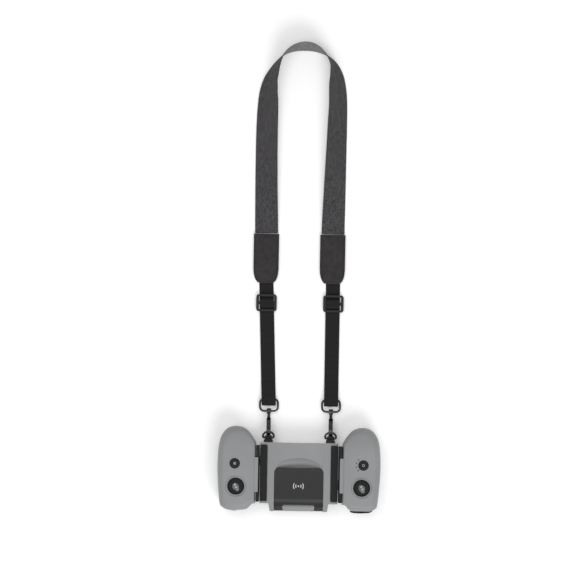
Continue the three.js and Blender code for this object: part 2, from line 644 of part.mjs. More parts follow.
// Doubled webbing: round the ring's far bar, flat along the ground, under the tri-glide, into the tab.
function lowerWebbing(start, end) {
  const bar = EYE_BAR_Y + 12.6;
  const outer = [
    [TAB_Y0 - GAP, 0.2], [78, 0.2], [bar, 0.7], [68.4, 1.1], [65.9, 3.6], [68.4, 6.1], [bar, 6.4], [78, 5.2],
    [90, 3], [GLIDE_Y0 - GAP, 2.9], [GLIDE_Y0 - GAP, 1.5], [TAB_Y0 - GAP, 1.5],
  ];
  const shape = new THREE.Shape(outer.map(([y, z]) => new THREE.Vector2(y, z)));
  const hole = [[67.6, 3.6], [69, 2.3], [bar, 1.95], [77, 2.1], [80, 2.9], [77, 4.1], [bar, 5.1], [69, 4.9]];
  shape.holes.push(new THREE.Path(hole.map(([y, z]) => new THREE.Vector2(y, z))));
  const strip = sideProfile(shape, -LOWER_WIDTH / 2, LOWER_WIDTH / 2);
  const position = strip.attributes.position;
  for (let i = 0; i < position.count; i += 1) {
    const share = (position.getY(i) - EYE_BAR_Y) / (TAB_Y0 - EYE_BAR_Y);
    position.setX(i, position.getX(i) + start + (end - start) * share);
  }
  return strip;
}

function triGlide() {
  const middle = (GLIDE_Y0 + GLIDE_Y1) / 2;
  const frame = prism(roundedRectangle(-10.85, 10.85, GLIDE_Y0, GLIDE_Y1, 3), 1.8, 4.4, 3);
  const slots = [-1, 1].map((side) => block(-8, 8, middle + side * 4.2 - 2.5, middle + side * 4.2 + 2.5, 0, 6));
  return cut(frame, ...slots);
}

function leatherTab() {
  const outline = new THREE.Shape();
  outline.moveTo(13.3, TAB_Y1);
  outline.lineTo(-13.3, TAB_Y1).lineTo(-13.3, TAB_Y0 + 17);
  outline.quadraticCurveTo(-13.3, TAB_Y0 + 3, -7.9, TAB_Y0);
  outline.lineTo(7.9, TAB_Y0);
  outline.quadraticCurveTo(13.3, TAB_Y0 + 3, 13.3, TAB_Y0 + 17);
  return prism(outline, 0.2, 4.6, 8);
}

// The neck webbing's outer edge stays on the ground all the way round; each row is that edge's
// x and y, and how far the band leans up on it, in degrees: 0 lies flat, 90 stands upright.
const NECK_EDGE = [
  [-50.8, 247.5, 4], [-51.3, 291, 14], [-51.5, 335, 19], [-51.1, 365, 22], [-50, 385, 28], [-48, 399, 38],
  [-43.8, 411.5, 50], [-38.2, 420.6, 62], [-31.2, 429.2, 76], [-22.6, 436.2, 91], [-12, 439.8, 104],
  [-0.6, 440.7, 110], [10.2, 439.8, 105], [20.4, 436.8, 91], [29.4, 431.2, 76], [35.8, 423.6, 61],
  [40.4, 413.8, 49], [43.2, 400.5, 41], [44.4, 386, 38], [44.7, 365, 33], [44.6, 335, 28], [44.4, 291, 18],
  [44.1, 247.5, 5],
];

function neckWebbing() {
  const edge = new THREE.CatmullRomCurve3(NECK_EDGE.map(([x, y]) => V3(x, y, 0)), false, "centripetal");
  const lean = new THREE.CatmullRomCurve3(NECK_EDGE.map(([, , angle], i) => V3(i, angle, 0)), false, "centripetal");
  const steps = 66;
  const half = NECK_THICK / 2;
  const rings = [];
  for (let i = 0; i <= steps; i += 1) {
    const t = i / steps;
    const along = edge.getTangent(t);
    const angle = (Math.max(0, lean.getPoint(t).y) * Math.PI) / 180;
    const inward = V3(along.y, -along.x, 0);
    const across = inward.multiplyScalar(Math.cos(angle)).add(V3(0, 0, Math.sin(angle)));
    const normal = across.clone().cross(along).normalize();
    const foot = edge.getPoint(t);
    foot.z = 0.25 + half * Math.abs(normal.z);
    const corner = (width, thick) => foot.clone().addScaledVector(across, width).addScaledVector(normal, thick);
    rings.push([corner(0, half), corner(NECK_WIDTH, half), corner(NECK_WIDTH, -half), corner(0, -half)]);
  }
  const flat = [[0, 0], [1, 0], [1, 1], [0, 1]].map(([x, y]) => new THREE.Vector2(x, y));
  return loft(rings, flatFace(flat));
}

// ---------------------------------------------------------------- assembly
const controller = new THREE.Group();

function place(name, geometry, material, parent = controller) {
  const mesh = new THREE.Mesh(geometry, material);
  mesh.name = name;
  parent.add(mesh);
  return mesh;
}

place("centre_front", centreFront(), GREY);
place("centre_back", centreBack(), GREY);
place("main_board", mainBoard(), BOARD);
place("charge_socket", chargeSocket(), STEEL);
place("pinion", pinion(), NYLON);
place("pinion_axle", pinionAxle(), STEEL);
place("clock_spring", clockSpring(), STEEL);
place("flap_cover", flapCover(), BLACK);
place("flap_inner_cover", flapInnerCover(), BLACK);
place("antenna_board", antennaBoard(), BOARD);

for (const side of ["left", "right"]) {
  const half = new THREE.Group();
  half.scale.x = side === "left" ? -1 : 1;
  controller.add(half);
  const add = (name, geometry, material) => place(`${name}_${side}`, geometry, material, half);

  add("grip_front", gripFront(side), GREY);
  add("grip_back", gripBack(side), GREY);
  add("jaw", jaw(), BLACK);
  add("rack", rack(side), NYLON);
  add("rest_pad", restPad(), RUBBER);
  add("stick_housing", stickHousing(), BLACK);
  add("stick_yoke", stickYoke(), NYLON);
  add("stick", stick(), GLOSS);
  add("stick_tip", stickTip(), STEEL);
  add("button", faceButton(), GLOSS);
  add("button_board", buttonBoard(), BOARD);
  add("battery", battery(), FOIL);
  add("grip_screw", gripScrew(), STEEL);
  add("hinge_pin", rod("x", 12, 28.6, HINGE_PIN_R, [0, HINGE_Y, HINGE_Z], 12), STEEL);
  add("ring_base", ringBase(), BLACK);
  add("d_ring", dRing().translate(RING_X, RING_AXIS_Y, RING_AXIS_Z), DARK_METAL);
  add("hook", hook().translate(RING_X, 0, 0), DARK_METAL);
  add("hook_gate", hookGate().translate(RING_X, 0, 0), DARK_METAL);
  add("strap_ring", strapRing().translate(RING_X, 0, 0), DARK_METAL);
}

place("light_guide", lightGuide(), LENS);
place("shoulder_button", shoulderButton(), GLOSS);
const leftOnly = new THREE.Group();
leftOnly.scale.x = -1;
controller.add(leftOnly);
place("dial", dial(), RUBBER, leftOnly);
place("dial_encoder", dialEncoder(), BLACK, leftOnly);

// Above the hooks the two legs of the strap lean a little, each in its own way.
const LEGS = { left: { ring: -32.7, glide: -37.2, tab: -38.3 }, right: { ring: 32.7, glide: 33.3, tab: 31.6 } };
for (const [side, leg] of Object.entries(LEGS)) {
  const tabCentre = leg.glide + (leg.tab - leg.glide) * 0.4;
  place(`lower_webbing_${side}`, lowerWebbing(leg.ring, tabCentre), WEB);
  place(`tri_glide_${side}`, triGlide().translate(leg.glide, 0, 0), BLACK);
  place(`leather_tab_${side}`, leatherTab().translate(leg.tab, 0, 0), LEATHER);
}
place("neck_webbing", neckWebbing(), HEATHER);

export default controller;
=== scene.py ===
# %% [markdown]
# # A telescopic radio controller on its neck strap
# The real object is two moulded grips that slide apart on racks, a thin body between them, and a
# strap of webbing and leather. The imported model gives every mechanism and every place. This lesson
# adds what a hand and an eye notice: soft mould edges, turned metal, woven webbing and stitches.

# %% Load the frame
import json
import math

import bmesh
import bpy
from mathutils import Matrix, Vector, noise as field


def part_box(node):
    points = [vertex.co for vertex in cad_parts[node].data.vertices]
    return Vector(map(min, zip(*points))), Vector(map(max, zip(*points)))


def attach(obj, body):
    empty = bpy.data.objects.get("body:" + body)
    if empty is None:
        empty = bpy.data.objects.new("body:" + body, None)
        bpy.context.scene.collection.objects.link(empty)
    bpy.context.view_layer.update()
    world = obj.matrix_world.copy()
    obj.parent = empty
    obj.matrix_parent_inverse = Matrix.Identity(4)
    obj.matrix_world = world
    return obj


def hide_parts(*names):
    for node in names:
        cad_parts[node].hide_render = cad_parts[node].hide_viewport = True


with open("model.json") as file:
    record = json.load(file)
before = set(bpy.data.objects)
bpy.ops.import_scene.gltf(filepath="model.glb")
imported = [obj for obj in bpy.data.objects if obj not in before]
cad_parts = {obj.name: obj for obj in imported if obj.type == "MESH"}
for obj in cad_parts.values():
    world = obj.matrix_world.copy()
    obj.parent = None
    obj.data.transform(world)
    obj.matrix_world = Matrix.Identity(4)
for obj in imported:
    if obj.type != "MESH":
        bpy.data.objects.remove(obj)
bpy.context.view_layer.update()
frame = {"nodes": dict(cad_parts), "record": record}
MM = 0.001

# %% [markdown]
# ## Camera
# The controller lies on a table under a camera that looks straight down, so a long lens far above
# keeps the strap's two legs parallel. The controller is turned by one degree to the camera.

# %% Camera
CAMERA_HEIGHT = 5.0
VIEW_WIDTH = 0.5985  # metres seen across the picture at the height of the grips
SUBJECT_HEIGHT = 0.02
SENSOR = 36

camera = bpy.data.objects.new("camera", bpy.data.cameras.new("camera"))
camera.data.sensor_width = SENSOR
camera.data.lens = SENSOR * (CAMERA_HEIGHT - SUBJECT_HEIGHT) / VIEW_WIDTH
camera.location = (-0.018, 0.1935, CAMERA_HEIGHT)
camera.rotation_euler = (0, 0, math.radians(1))
bpy.context.collection.objects.link(camera)
bpy.context.scene.camera = camera
print("lens", round(camera.data.lens, 1), "mm")

# %% [markdown]
# ## Studio
# A white table, an even sky and two large soft lamps. The larger lamp stands to the lower right, so
# the soft shadows fall to the upper left.

# %% Studio
def lamp(name, place, size, watts):
    light = bpy.data.lights.new(name, "AREA")
    light.shape = "DISK"
    light.size = size
    light.energy = watts
    holder = bpy.data.objects.new(name, light)
    holder.location = place
    aim = Vector((0, 0.15, 0)) - Vector(place)
    holder.rotation_euler = aim.to_track_quat("-Z", "Y").to_euler()
    bpy.context.collection.objects.link(holder)
    return holder


lamp("large_softbox", (0.5, -1.2, 1.5), 1.2, 17)
lamp("overhead_softbox", (-0.4, 0.5, 1.9), 1.5, 11)

world = bpy.data.worlds.new("even_sky")
world.use_nodes = True
world.node_tree.nodes["Background"].inputs["Color"].default_value = (1, 1, 1, 1)
world.node_tree.nodes["Background"].inputs["Strength"].default_value = 0.5
bpy.context.scene.world = world
bpy.context.scene.view_settings.view_transform = "Standard"  # the white table stays pure white

# %% [markdown]
# ## Shader maths in Python
# A finish is a small program on the surface. Wrapping a socket in a class lets plain expressions
# such as `1 - mask` add the Math nodes, which keeps each recipe readable.

# %% Shader maths
class Wire:
    """A value in a finish. Python's operators on it add Math nodes."""

    def __init__(self, finish, socket):
        self.finish = finish
        self.socket = socket

    def maths(self, operation, first, second=0.0):
        return self.finish.node("ShaderNodeMath", {"operation": operation}, {0: first, 1: second})

    def __add__(self, other):
        return self.maths("ADD", self, other)

    __radd__ = __add__

    def __mul__(self, other):
        return self.maths("MULTIPLY", self, other)

    __rmul__ = __mul__

    def __sub__(self, other):
        return self.maths("SUBTRACT", self, other)

    def __rsub__(self, other):
        return self.maths("SUBTRACT", other, self)

    def __gt__(self, other):
        return self.maths("GREATER_THAN", self, other)

    def sine(self):
        return self.maths("SINE", self)

    def size(self):
        return self.maths("ABSOLUTE", self)

    def wrapped(self, width):
        return self.maths("FLOORED_MODULO", self, width)

    def ramp(self, low, high):
        settings = {"clamp": True}
        inputs = {"Value": self, "From Min": low, "From Max": high}
        return self.finish.node("ShaderNodeMapRange", settings, inputs)


class Finish:
    """A material whose nodes are added by short calls; constants go straight to the shader."""

    def __init__(self, name, **constants):
        self.material = bpy.data.materials.new(name)
        self.material.use_nodes = True
        self.tree = self.material.node_tree
        self.shader = self.tree.nodes["Principled BSDF"]
        for key, value in constants.items():
            self.shader.inputs[key.replace("_", " ")].default_value = value

    def node(self, kind, settings=None, inputs=None, output=0):
        made = self.tree.nodes.new(kind)
        for key, value in (settings or {}).items():
            setattr(made, key, value)
        for key, value in (inputs or {}).items():
            self.feed(made.inputs[key], value)
        return Wire(self, made.outputs[output])

    def feed(self, socket, value):
        if isinstance(value, Wire):
            self.tree.links.new(value.socket, socket)
        else:
            socket.default_value = value

    def give(self, name, value):
        self.feed(self.shader.inputs[name], value)

    def place(self):
        return self.node("ShaderNodeTexCoord", output="Object")

    def noise(self, scale, detail=2.0, where=None):
        inputs = {"Vector": where or self.place(), "Scale": scale, "Detail": detail}
        return self.node("ShaderNodeTexNoise", {}, inputs)

    def blend(self, share, first, second):
        inputs = {0: share, 6: first, 7: second}
        return self.node("ShaderNodeMix", {"data_type": "RGBA"}, inputs, output=2)

    def bump(self, height, depth, strength=1.0):
        """depth is the height in millimetres between a height of 0 and 1."""
        inputs = {"Height": height, "Distance": depth * MM, "Strength": strength}
        self.give("Normal", self.node("ShaderNodeBump", {}, inputs))


def tint(red, green, blue):
    """A colour as a paint chart gives it, 0 to 255, in the linear values that a shader takes."""
    def straight(value):
        share = value / 255
        return share / 12.92 if share <= 0.04045 else ((share + 0.055) / 1.055) ** 2.4

    return (straight(red), straight(green), straight(blue), 1.0)

# %% [markdown]
# ## Moulded plastics
# The grey casing comes from a tool with a very fine spark-eroded texture: a bump a few hundredths of
# a millimetre deep, with a slow drift in gloss where hands and the mould differ. The black parts
# share the recipe with a coarser grain, so one function makes them all.

# %% Moulded plastics
def moulded(name, colour, roughness, grain_size, grain_depth, drift=0.06, shine=0.5):
    finish = Finish(name, Specular_IOR_Level=shine)
    cloudy = finish.noise(28.0, 3.0)
    grain = finish.noise(1 / (grain_size * MM), 2.0)
    darker = tuple(channel * 0.93 for channel in colour[:3]) + (1.0,)
    finish.give("Base Color", finish.blend(cloudy.ramp(0.35, 0.65), darker, colour))
    finish.give("Roughness", cloudy * drift + grain * drift + (roughness - drift))
    finish.bump(grain, grain_depth)
    return finish.material


shell_grey = moulded("shell_grey", tint(139, 141, 142), 0.52, 0.35, 0.02)
black_plastic = moulded("black_plastic", tint(38, 37, 38), 0.5, 0.3, 0.02, shine=0.25)
flap_plastic = moulded("flap_plastic", tint(38, 36, 37), 0.38, 0.22, 0.012, shine=0.32)
pad_rubber = moulded("pad_rubber", tint(41, 41, 42), 0.8, 0.5, 0.05, shine=0.15)
gloss_black = moulded("gloss_black", tint(17, 17, 18), 0.14, 2.0, 0.004, 0.02)
satin_black = moulded("satin_black", tint(26, 26, 27), 0.38, 0.4, 0.01, shine=0.2)
nylon = moulded("nylon", tint(205, 204, 192), 0.5, 0.6, 0.02)
circuit_green = moulded("circuit_green", tint(28, 92, 52), 0.4, 1.4, 0.05)
cell_wrap = moulded("cell_wrap", tint(96, 100, 106), 0.45, 3.0, 0.05)
clear_guide = moulded("clear_guide", tint(96, 98, 98), 0.3, 1.0, 0.01)
paper_white = Finish(
    "paper_white", Base_Color=(0.97, 0.97, 0.97, 1), Roughness=0.9, Emission_Color=(1, 1, 1, 1), Emission_Strength=0.14
).material
print_white = moulded("print_white", tint(205, 205, 205), 0.5, 0.3, 0.01)
print("plastics:", shell_grey.name, "and", len(bpy.data.materials) - 1, "others so far")

# %% [markdown]
# ## Metals
# The stick tips are turned: fine rings round each tip's own axis, brighter on the ridges. The hooks
# and rings are steel with a black plating that has random lighter patches, partly wear and partly painted glints.

# %% Metals
def turned_steel(name, centre, groove=tint(176, 177, 180), ridge=tint(214, 215, 217)):
    finish = Finish(name, Metallic=1.0)
    offset = finish.node("ShaderNodeVectorMath", {"operation": "SUBTRACT"}, {0: finish.place(), 1: centre})
    flat = finish.node("ShaderNodeVectorMath", {"operation": "MULTIPLY"}, {0: offset, 1: (1, 1, 0)})
    radius = finish.node("ShaderNodeVectorMath", {"operation": "LENGTH"}, {0: flat}, output="Value")
    rings = (radius * (2 * math.pi / (0.22 * MM))).sine() * 0.5 + 0.5
    finish.give("Base Color", finish.blend(rings, groove, ridge))
    finish.give("Roughness", rings * 0.08 + finish.noise(900.0) * 0.05 + 0.2)
    finish.bump(rings, 0.004)
    return finish.material


def plated_black(name):
    finish = Finish(name, Metallic=1.0)
    # Random lighter patches: partly worn plating, partly painted glints.
    wear_and_glints = finish.noise(420.0, 5.0).ramp(0.6, 0.72)
    finish.give("Base Color", finish.blend(wear_and_glints, tint(62, 62, 64), tint(118, 118, 120)))
    finish.give("Roughness", finish.noise(1600.0) * 0.16 + 0.22 - wear_and_glints * 0.06)
    finish.bump(finish.noise(700.0, 4.0), 0.015)
    return finish.material


def box_middle(node):
    low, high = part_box(node)
    return (Vector(low) + Vector(high)) / 2


tip_steel = {
    side: turned_steel(f"tip_steel_{side}", box_middle(f"stick_tip_{side}"), tint(104, 104, 107), tint(146, 147, 150))
    for side in ("left", "right")
}
plated = plated_black("plated_black")
plain_steel = turned_steel("plain_steel", (0, 0, 0))
print("metals ready; a tip's axis stands at x =", round(box_middle("stick_tip_right").x / MM, 1), "mm")

# %% [markdown]
# ## Cloth
# Webbing is woven, and its pattern follows the strip, so each strip carries a map named `cloth`:
# millimetres across, then millimetres along. The neck band is a broken twill of dark and pale
# yarns, which reads as a heather grey. The lower strip is plain ribbed nylon.

# %% Cloth finishes
def cloth_lines(finish):
    """How far across and how far along the strip a point lies, in millimetres."""
    cloth = finish.node("ShaderNodeUVMap", {"uv_map": "cloth"})
    across = finish.node("ShaderNodeSeparateXYZ", {}, {0: cloth}, output="X")
    along = finish.node("ShaderNodeSeparateXYZ", {}, {0: cloth}, output="Y")
    return cloth, across, along


REVERSE_START = 50  # the map's across value jumps to more than this on a band's reverse, painted paler as a lit face


def heather(name, dark, pale):
    finish = Finish(name, Roughness=0.92, Specular_IOR_Level=0.15, Sheen_Weight=0.04, Sheen_Roughness=0.6)
    cloth, across, along = cloth_lines(finish)
    yarn = 0.62
    zigzag = ((across.wrapped(10 * yarn) - 5 * yarn).size() + along) * (2 * math.pi / (3.2 * yarn))
    twill = zigzag.sine() * 0.5 + 0.5
    cells = finish.node("ShaderNodeMapping", {}, {"Vector": cloth, "Scale": (1.5, 0.55, 1)})
    flecks = finish.node("ShaderNodeTexWhiteNoise", {}, {"Vector": finish.node(
        "ShaderNodeVectorMath", {"operation": "FLOOR"}, {0: cells})})
    mixed = finish.noise(1.4, 3.0, cloth)
    share = twill * 0.42 + flecks * 0.34 + mixed * 0.4
    face = finish.blend(share.ramp(0.25, 0.95), dark, pale)
    # The reverse is the same cloth in paler colours: painted light, for the lit underside where the band stands up.
    painted_lit_reverse = finish.blend(share.ramp(0.25, 0.95), tint(92, 91, 93), tint(150, 149, 150))
    finish.give("Base Color", finish.blend(across > REVERSE_START, face, painted_lit_reverse))
    ribs = (across * (2 * math.pi / (2 * yarn))).sine()
    finish.bump(twill * 0.7 + ribs * 0.2 + flecks * 0.15, 0.28)
    return finish.material


def ribbed(name, dark, pale):
    finish = Finish(name, Roughness=0.75, Specular_IOR_Level=0.12)
    cloth, across, along = cloth_lines(finish)
    weft = (along * (2 * math.pi / 1.25)).sine() * 0.5 + 0.5
    warp = (across * (2 * math.pi / 0.9)).sine() * 0.5 + 0.5
    fuzz = finish.noise(2.2, 3.0, cloth)
    finish.give("Base Color", finish.blend((weft * 0.4 + warp * 0.25 + fuzz * 0.5).ramp(0.2, 0.95), dark, pale))
    finish.bump(weft * 0.75 + warp * 0.25, 0.3)
    return finish.material


neck_cloth = heather("neck_cloth", tint(34, 33, 35), tint(96, 94, 96))
strap_nylon = ribbed("strap_nylon", tint(16, 16, 17), tint(50, 49, 50))

# %% [markdown]
# ## Leather and thread
# The tabs are fine grained cowhide. A cell pattern gives the pebbles and a broad noise the slow change
# of tone, and the gloss follows both, because the tops of the pebbles are rubbed smooth.

# %% Leather and thread
def cowhide(name):
    finish = Finish(name, Specular_IOR_Level=0.2)
    pebbles = finish.node("ShaderNodeTexVoronoi", {}, {"Vector": finish.place(), "Scale": 1500.0})
    broad = finish.noise(160.0, 4.0)
    finish.give("Base Color", finish.blend(broad.ramp(0.3, 0.7), tint(40, 38, 39), tint(54, 51, 52)))
    finish.give("Roughness", pebbles * 0.2 + broad * 0.14 + 0.42)
    finish.bump((1 - pebbles) * 0.7 + broad * 0.5, 0.12)
    return finish.material


def twisted(name, colour):
    finish = Finish(name, Roughness=0.75)
    strand = finish.noise(2600.0, 2.0)
    finish.give("Base Color", finish.blend(strand, tuple(c * 0.6 for c in colour[:3]) + (1.0,), colour))
    finish.bump(strand, 0.05)
    return finish.material


leather = cowhide("leather")
thread = twisted("thread", tint(44, 42, 43))
print("finishes:", len(bpy.data.materials))

# %% [markdown]
# ## Small tools for shapes
# Every piece is a bmesh that becomes one object at the origin, riding on its mechanical body. The
# imported record says which body and which finish slot a node has; a new piece looks up only its body.

# %% Small tools for shapes
record = frame["record"]
body_of = {node: body for body, nodes in record["behaviour"]["bodies"].items() for node in nodes}
slot_of = {part["node"]: part["material_slot"] for part in record["subparts"]}


def new_object(bm, name, material, smooth=38):
    mesh = bpy.data.meshes.new(name)
    bm.to_mesh(mesh)
    bm.free()
    mesh.shade_smooth()
    mesh.set_sharp_from_angle(angle=math.radians(smooth))
    mesh.materials.append(material)
    made = bpy.data.objects.new(name, mesh)
    bpy.context.collection.objects.link(made)
    return made


def stand_for(piece, node, *others):
    """The piece takes a node's body and is shown in its stead."""
    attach(piece, body_of[node])
    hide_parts(node, *others)
    return piece


def add_to(piece, node):
    """The piece is fixed to a node that stays in sight."""
    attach(piece, body_of[node])
    return piece


def bake_modifiers(piece):
    graph = bpy.context.evaluated_depsgraph_get()
    baked = bpy.data.meshes.new_from_object(piece.evaluated_get(graph))
    piece.modifiers.clear()
    old = piece.data
    piece.data = baked
    bpy.data.meshes.remove(old)
    return piece


def boolean(piece, operation, *tools):
    for tool in tools:
        change = piece.modifiers.new(operation.lower(), "BOOLEAN")
        change.operation = operation
        change.solver = "EXACT"
        change.object = tool
    bake_modifiers(piece)
    for tool in tools:
        bpy.data.objects.remove(tool)
    return piece


def round_edges(piece, width, segments=3, angle=40):
    """Small radii on every edge sharper than the angle, with shading that keeps the faces flat."""
    bevel = piece.modifiers.new("radius", "BEVEL")
    bevel.width = width * MM
    bevel.segments = segments
    bevel.limit_method = "ANGLE"
    bevel.angle_limit = math.radians(angle)
    bevel.harden_normals = True
    bake_modifiers(piece)
    return piece


def cube_between(x0, x1, y0, y1, z0, z1, name="block"):
    bm = bmesh.new()
    bmesh.ops.create_cube(bm, size=1)
    bmesh.ops.scale(bm, verts=bm.verts, vec=((x1 - x0) * MM, (y1 - y0) * MM, (z1 - z0) * MM))
    middle = Vector(((x0 + x1) / 2, (y0 + y1) / 2, (z0 + z1) / 2)) * MM
    bmesh.ops.translate(bm, verts=bm.verts, vec=middle)
    return new_object(bm, name, shell_grey)


def bar_between(start, end, radius, segments=48, name="bar"):
    """A round bar between two points, all in millimetres."""
    start, end = Vector(start) * MM, Vector(end) * MM
    bm = bmesh.new()
    bmesh.ops.create_cone(bm, cap_ends=True, segments=segments, radius1=radius * MM, radius2=radius * MM,
                          depth=(end - start).length)
    turn = (end - start).to_track_quat("Z", "Y").to_matrix().to_4x4()
    bmesh.ops.transform(bm, verts=bm.verts, matrix=Matrix.Translation((start + end) / 2) @ turn)
    return new_object(bm, name, shell_grey)


def copy_of(node, width, segments=2, material=None, angle=35, name=None):
    """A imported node's own shape with its edges rounded over, as a mould or a tumbler leaves them."""
    bm = bmesh.new()
    bm.from_mesh(frame["nodes"][node].data)
    bmesh.ops.remove_doubles(bm, verts=bm.verts, dist=0.002 * MM)
    bmesh.ops.dissolve_limit(bm, angle_limit=math.radians(1.5), verts=bm.verts, edges=bm.edges)
    piece = new_object(bm, name or f"{node}_finished", material)
    round_edges(piece, width, segments, angle)
    return stand_for(piece, node)


# %% [markdown]
# ## The grips' outline
# Seen from the front a grip is a flat bean: a straight inner side against the phone, a palm lobe
# towards the strap and a short round end for the index finger. A smooth curve runs through a few
# points measured from the stick; the two halves of the casing both follow it.

# %% The grips' outline
STICK = Vector((65.9, -17.8))
GRIP_INNER_X = 45.4
SPLIT_Z = 19.0
FRONT_Z = 38.0
JOINT_GAP = 0.15
FAR_END = [(-17, -18.8), (-13, -23), (-9.6, -24.6), (0, -25.4), (8, -25.2), (14.6, -21.9), (16.9, -17.2)]
OUTER_SIDE = [(18.8, 3), (19.6, 21), (19, 37.5)]
LOBE = [(17.2, 48.6), (14, 55.6), (8.2, 60.9), (-0.8, 62.6), (-9.6, 59.8), (-16, 52.9), (-20.5, 45.4)]


def smooth_through(points, steps):
    """A curve through every point, each stretch bent by its neighbours."""
    ends = [points[0]] + points + [points[-1]]
    curve = []
    for a, b, c, d in zip(ends, ends[1:], ends[2:], ends[3:]):
        for i in range(steps):
            t = i / steps
            bend = (2 * b, c - a, 2 * a - 5 * b + 4 * c - d, 3 * b - a - 3 * c + d)
            curve.append(0.5 * (bend[0] + bend[1] * t + bend[2] * t * t + bend[3] * t ** 3))
    return curve + [points[-1]]


def evened(ring, count=150):
    """The same closed line with its points at equal steps, starting from its first point."""
    closed = ring + ring[:1]
    lengths = [(b - a).length for a, b in zip(closed, closed[1:])]
    step = sum(lengths) / count
    points, reached, i = [], 0.0, 0
    for k in range(count):
        while reached + lengths[i] < k * step:
            reached += lengths[i]
            i += 1
        points.append(closed[i].lerp(closed[i + 1], (k * step - reached) / lengths[i]))
    return points


def grip_outline():
    corners = [Vector(p) + STICK for p in [(-20.5, -18.1)] + FAR_END + OUTER_SIDE + LOBE]
    return evened(smooth_through(corners, 12))


def drawn_in(outline, distance, square=0.7):
    """The outline moved inwards in small steps, each one evened out so that tight curves stay open.
    The side that faces the phone moves less, by the share called square, so its edges are sharper."""
    ring = outline
    steps = math.ceil(distance / 0.5)
    for _ in range(steps):
        moved = []
        for before, point, after in zip(ring[-1:] + ring[:-1], ring, ring[1:] + ring[:1]):
            along = (after - before).normalized()
            inward = Vector((-along.y, along.x))
            stay = square * max(0.0, inward.x) ** 2
            moved.append(point + inward * distance / steps * (1 - stay))
        around = zip(moved[-1:] + moved[:-1], moved, moved[1:] + moved[:1])
        ring = evened([(before + after) * 0.15 + point * 0.7 for before, point, after in around])
    return ring


def thin_lobe(point):
    """The palm lobe grows thinner towards the strap on both faces."""
    share = max(0.0, (point.y - STICK.y - 28) / 34) ** 2
    drop = -8 if point.z > SPLIT_Z else 6
    point.z += drop * share * abs(point.z - SPLIT_Z) / SPLIT_Z


GRIP = grip_outline()
print("outline points:", len(GRIP))

# %% [markdown]
# ## Lofting half a casing
# The casing's edge is a quarter of an ellipse that the outline follows inwards. The first ring is a
# face; each next ring is extruded from the last and set to its place. Cutting the closed body with
# planes across the lobe gives its flat face rows of edges, which then bend with the lobe.

# %% Lofting half a casing
ROLL = {"front": (29.0, 9.0, 7.0), "back": (12.5, -12.5, 11.0)}  # start z, height and width of the edge
RING_STEPS = 12


def casing_half(face, wall=0.0):
    """Half of the right grip as a closed body, in millimetres; wall makes the hollow inside it."""
    start, height, width = ROLL[face]
    side = 1 if face == "front" else -1
    base = SPLIT_Z + side * (JOINT_GAP if wall == 0 else -0.5)
    levels = [(base, wall)]
    for i in range(RING_STEPS + 1):
        turn = math.pi / 2 * i / RING_STEPS
        levels.append((start + (height - side * wall) * math.sin(turn), wall + width * (1 - math.cos(turn))))
    bm = bmesh.new()
    ring = [bm.verts.new((p.x, p.y, base)) for p in drawn_in(GRIP, wall)]
    bm.faces.new(ring)
    edges = list(bm.edges)
    for z, distance in levels[1:]:
        grown = bmesh.ops.extrude_edge_only(bm, edges=edges)["geom"]
        edges = [item for item in grown if isinstance(item, bmesh.types.BMEdge)]
        loop = [item for item in grown if isinstance(item, bmesh.types.BMVert)]
        places = drawn_in(GRIP, distance)
        for vert, place in zip(loop, places):
            vert.co = (place.x, place.y, z)
    bmesh.ops.contextual_create(bm, geom=edges)
    bmesh.ops.recalc_face_normals(bm, faces=bm.faces)
    for row in range(1, 18):
        where = (0, STICK.y + 26 + row * 2.0, 0)
        everything = list(bm.verts) + list(bm.edges) + list(bm.faces)
        bmesh.ops.bisect_plane(bm, geom=everything, plane_co=where, plane_no=(0, 1, 0))
    for vert in bm.verts:
        thin_lobe(vert.co)
    bmesh.ops.scale(bm, verts=bm.verts, vec=(MM, MM, MM))
    return bm


check = casing_half("front")
print("front half:", len(check.faces), "faces, closed:", all(edge.is_manifold for edge in check.edges))
check.free()

# %% [markdown]
# ## Cutting the casings
# The front shell takes the stick, the button and, on the right, the four charge lights; the back
# shell takes the screw, the tongue and either the dial or the shoulder button. Both are hollow, so
# the holes show a real wall.

# %% Cutting the casings
BUTTON = Vector((67.4, 6.1))
SCREW = Vector((63.9, 29.2))
DIAL = Vector((67.9, -35.6))
LIGHTS = [BUTTON + 7.6 * Vector((math.cos(a), math.sin(a))) for a in map(math.radians, (133, 163, 195, 224))]


def front_tools(side):
    tools = [
        new_object(casing_half("front", 2), "hollow", shell_grey),
        bar_between((*STICK, 30), (*STICK, 40), 9.6, 96),
        bar_between((*STICK, 36.9), (*STICK, 40), 10.85, 96),
        bar_between((*BUTTON, 30), (*BUTTON, 40), 5.5, 72),
    ]
    if side == "right":
        tools += [bar_between((*place, 30), (*place, 40), 0.75, 24) for place in LIGHTS]
        tools.append(cube_between(53.4, 78.4, -50, -37.6, 9.5, 26.5))
        tools.append(cube_between(53.4, 78.4, -50, -42.2, 26, 40))
    return tools


def back_tools(side):
    tongue_y = {"right": (-21.5, -10.9), "left": (2.9, 13.5)}[side]
    slot = {"right": (53.4, 78.4, -50, -37.6, 9.5, 26.5), "left": (58.3, 77.5, -47.6, -34.6, 8.9, 17.1)}[side]
    return [
        new_object(casing_half("back", 2), "hollow", shell_grey),
        bar_between((*SCREW, -1), (*SCREW, 5), 3.2, 40),
        cube_between(40, 50, *tongue_y, 12.7, 17.3),
        cube_between(*slot),
    ]


def mirrored(piece):
    bm = bmesh.new()
    bm.from_mesh(piece.data)
    bmesh.ops.scale(bm, verts=bm.verts, vec=(-1, 1, 1))
    bmesh.ops.reverse_faces(bm, faces=bm.faces)
    bm.to_mesh(piece.data)
    bm.free()
    return piece


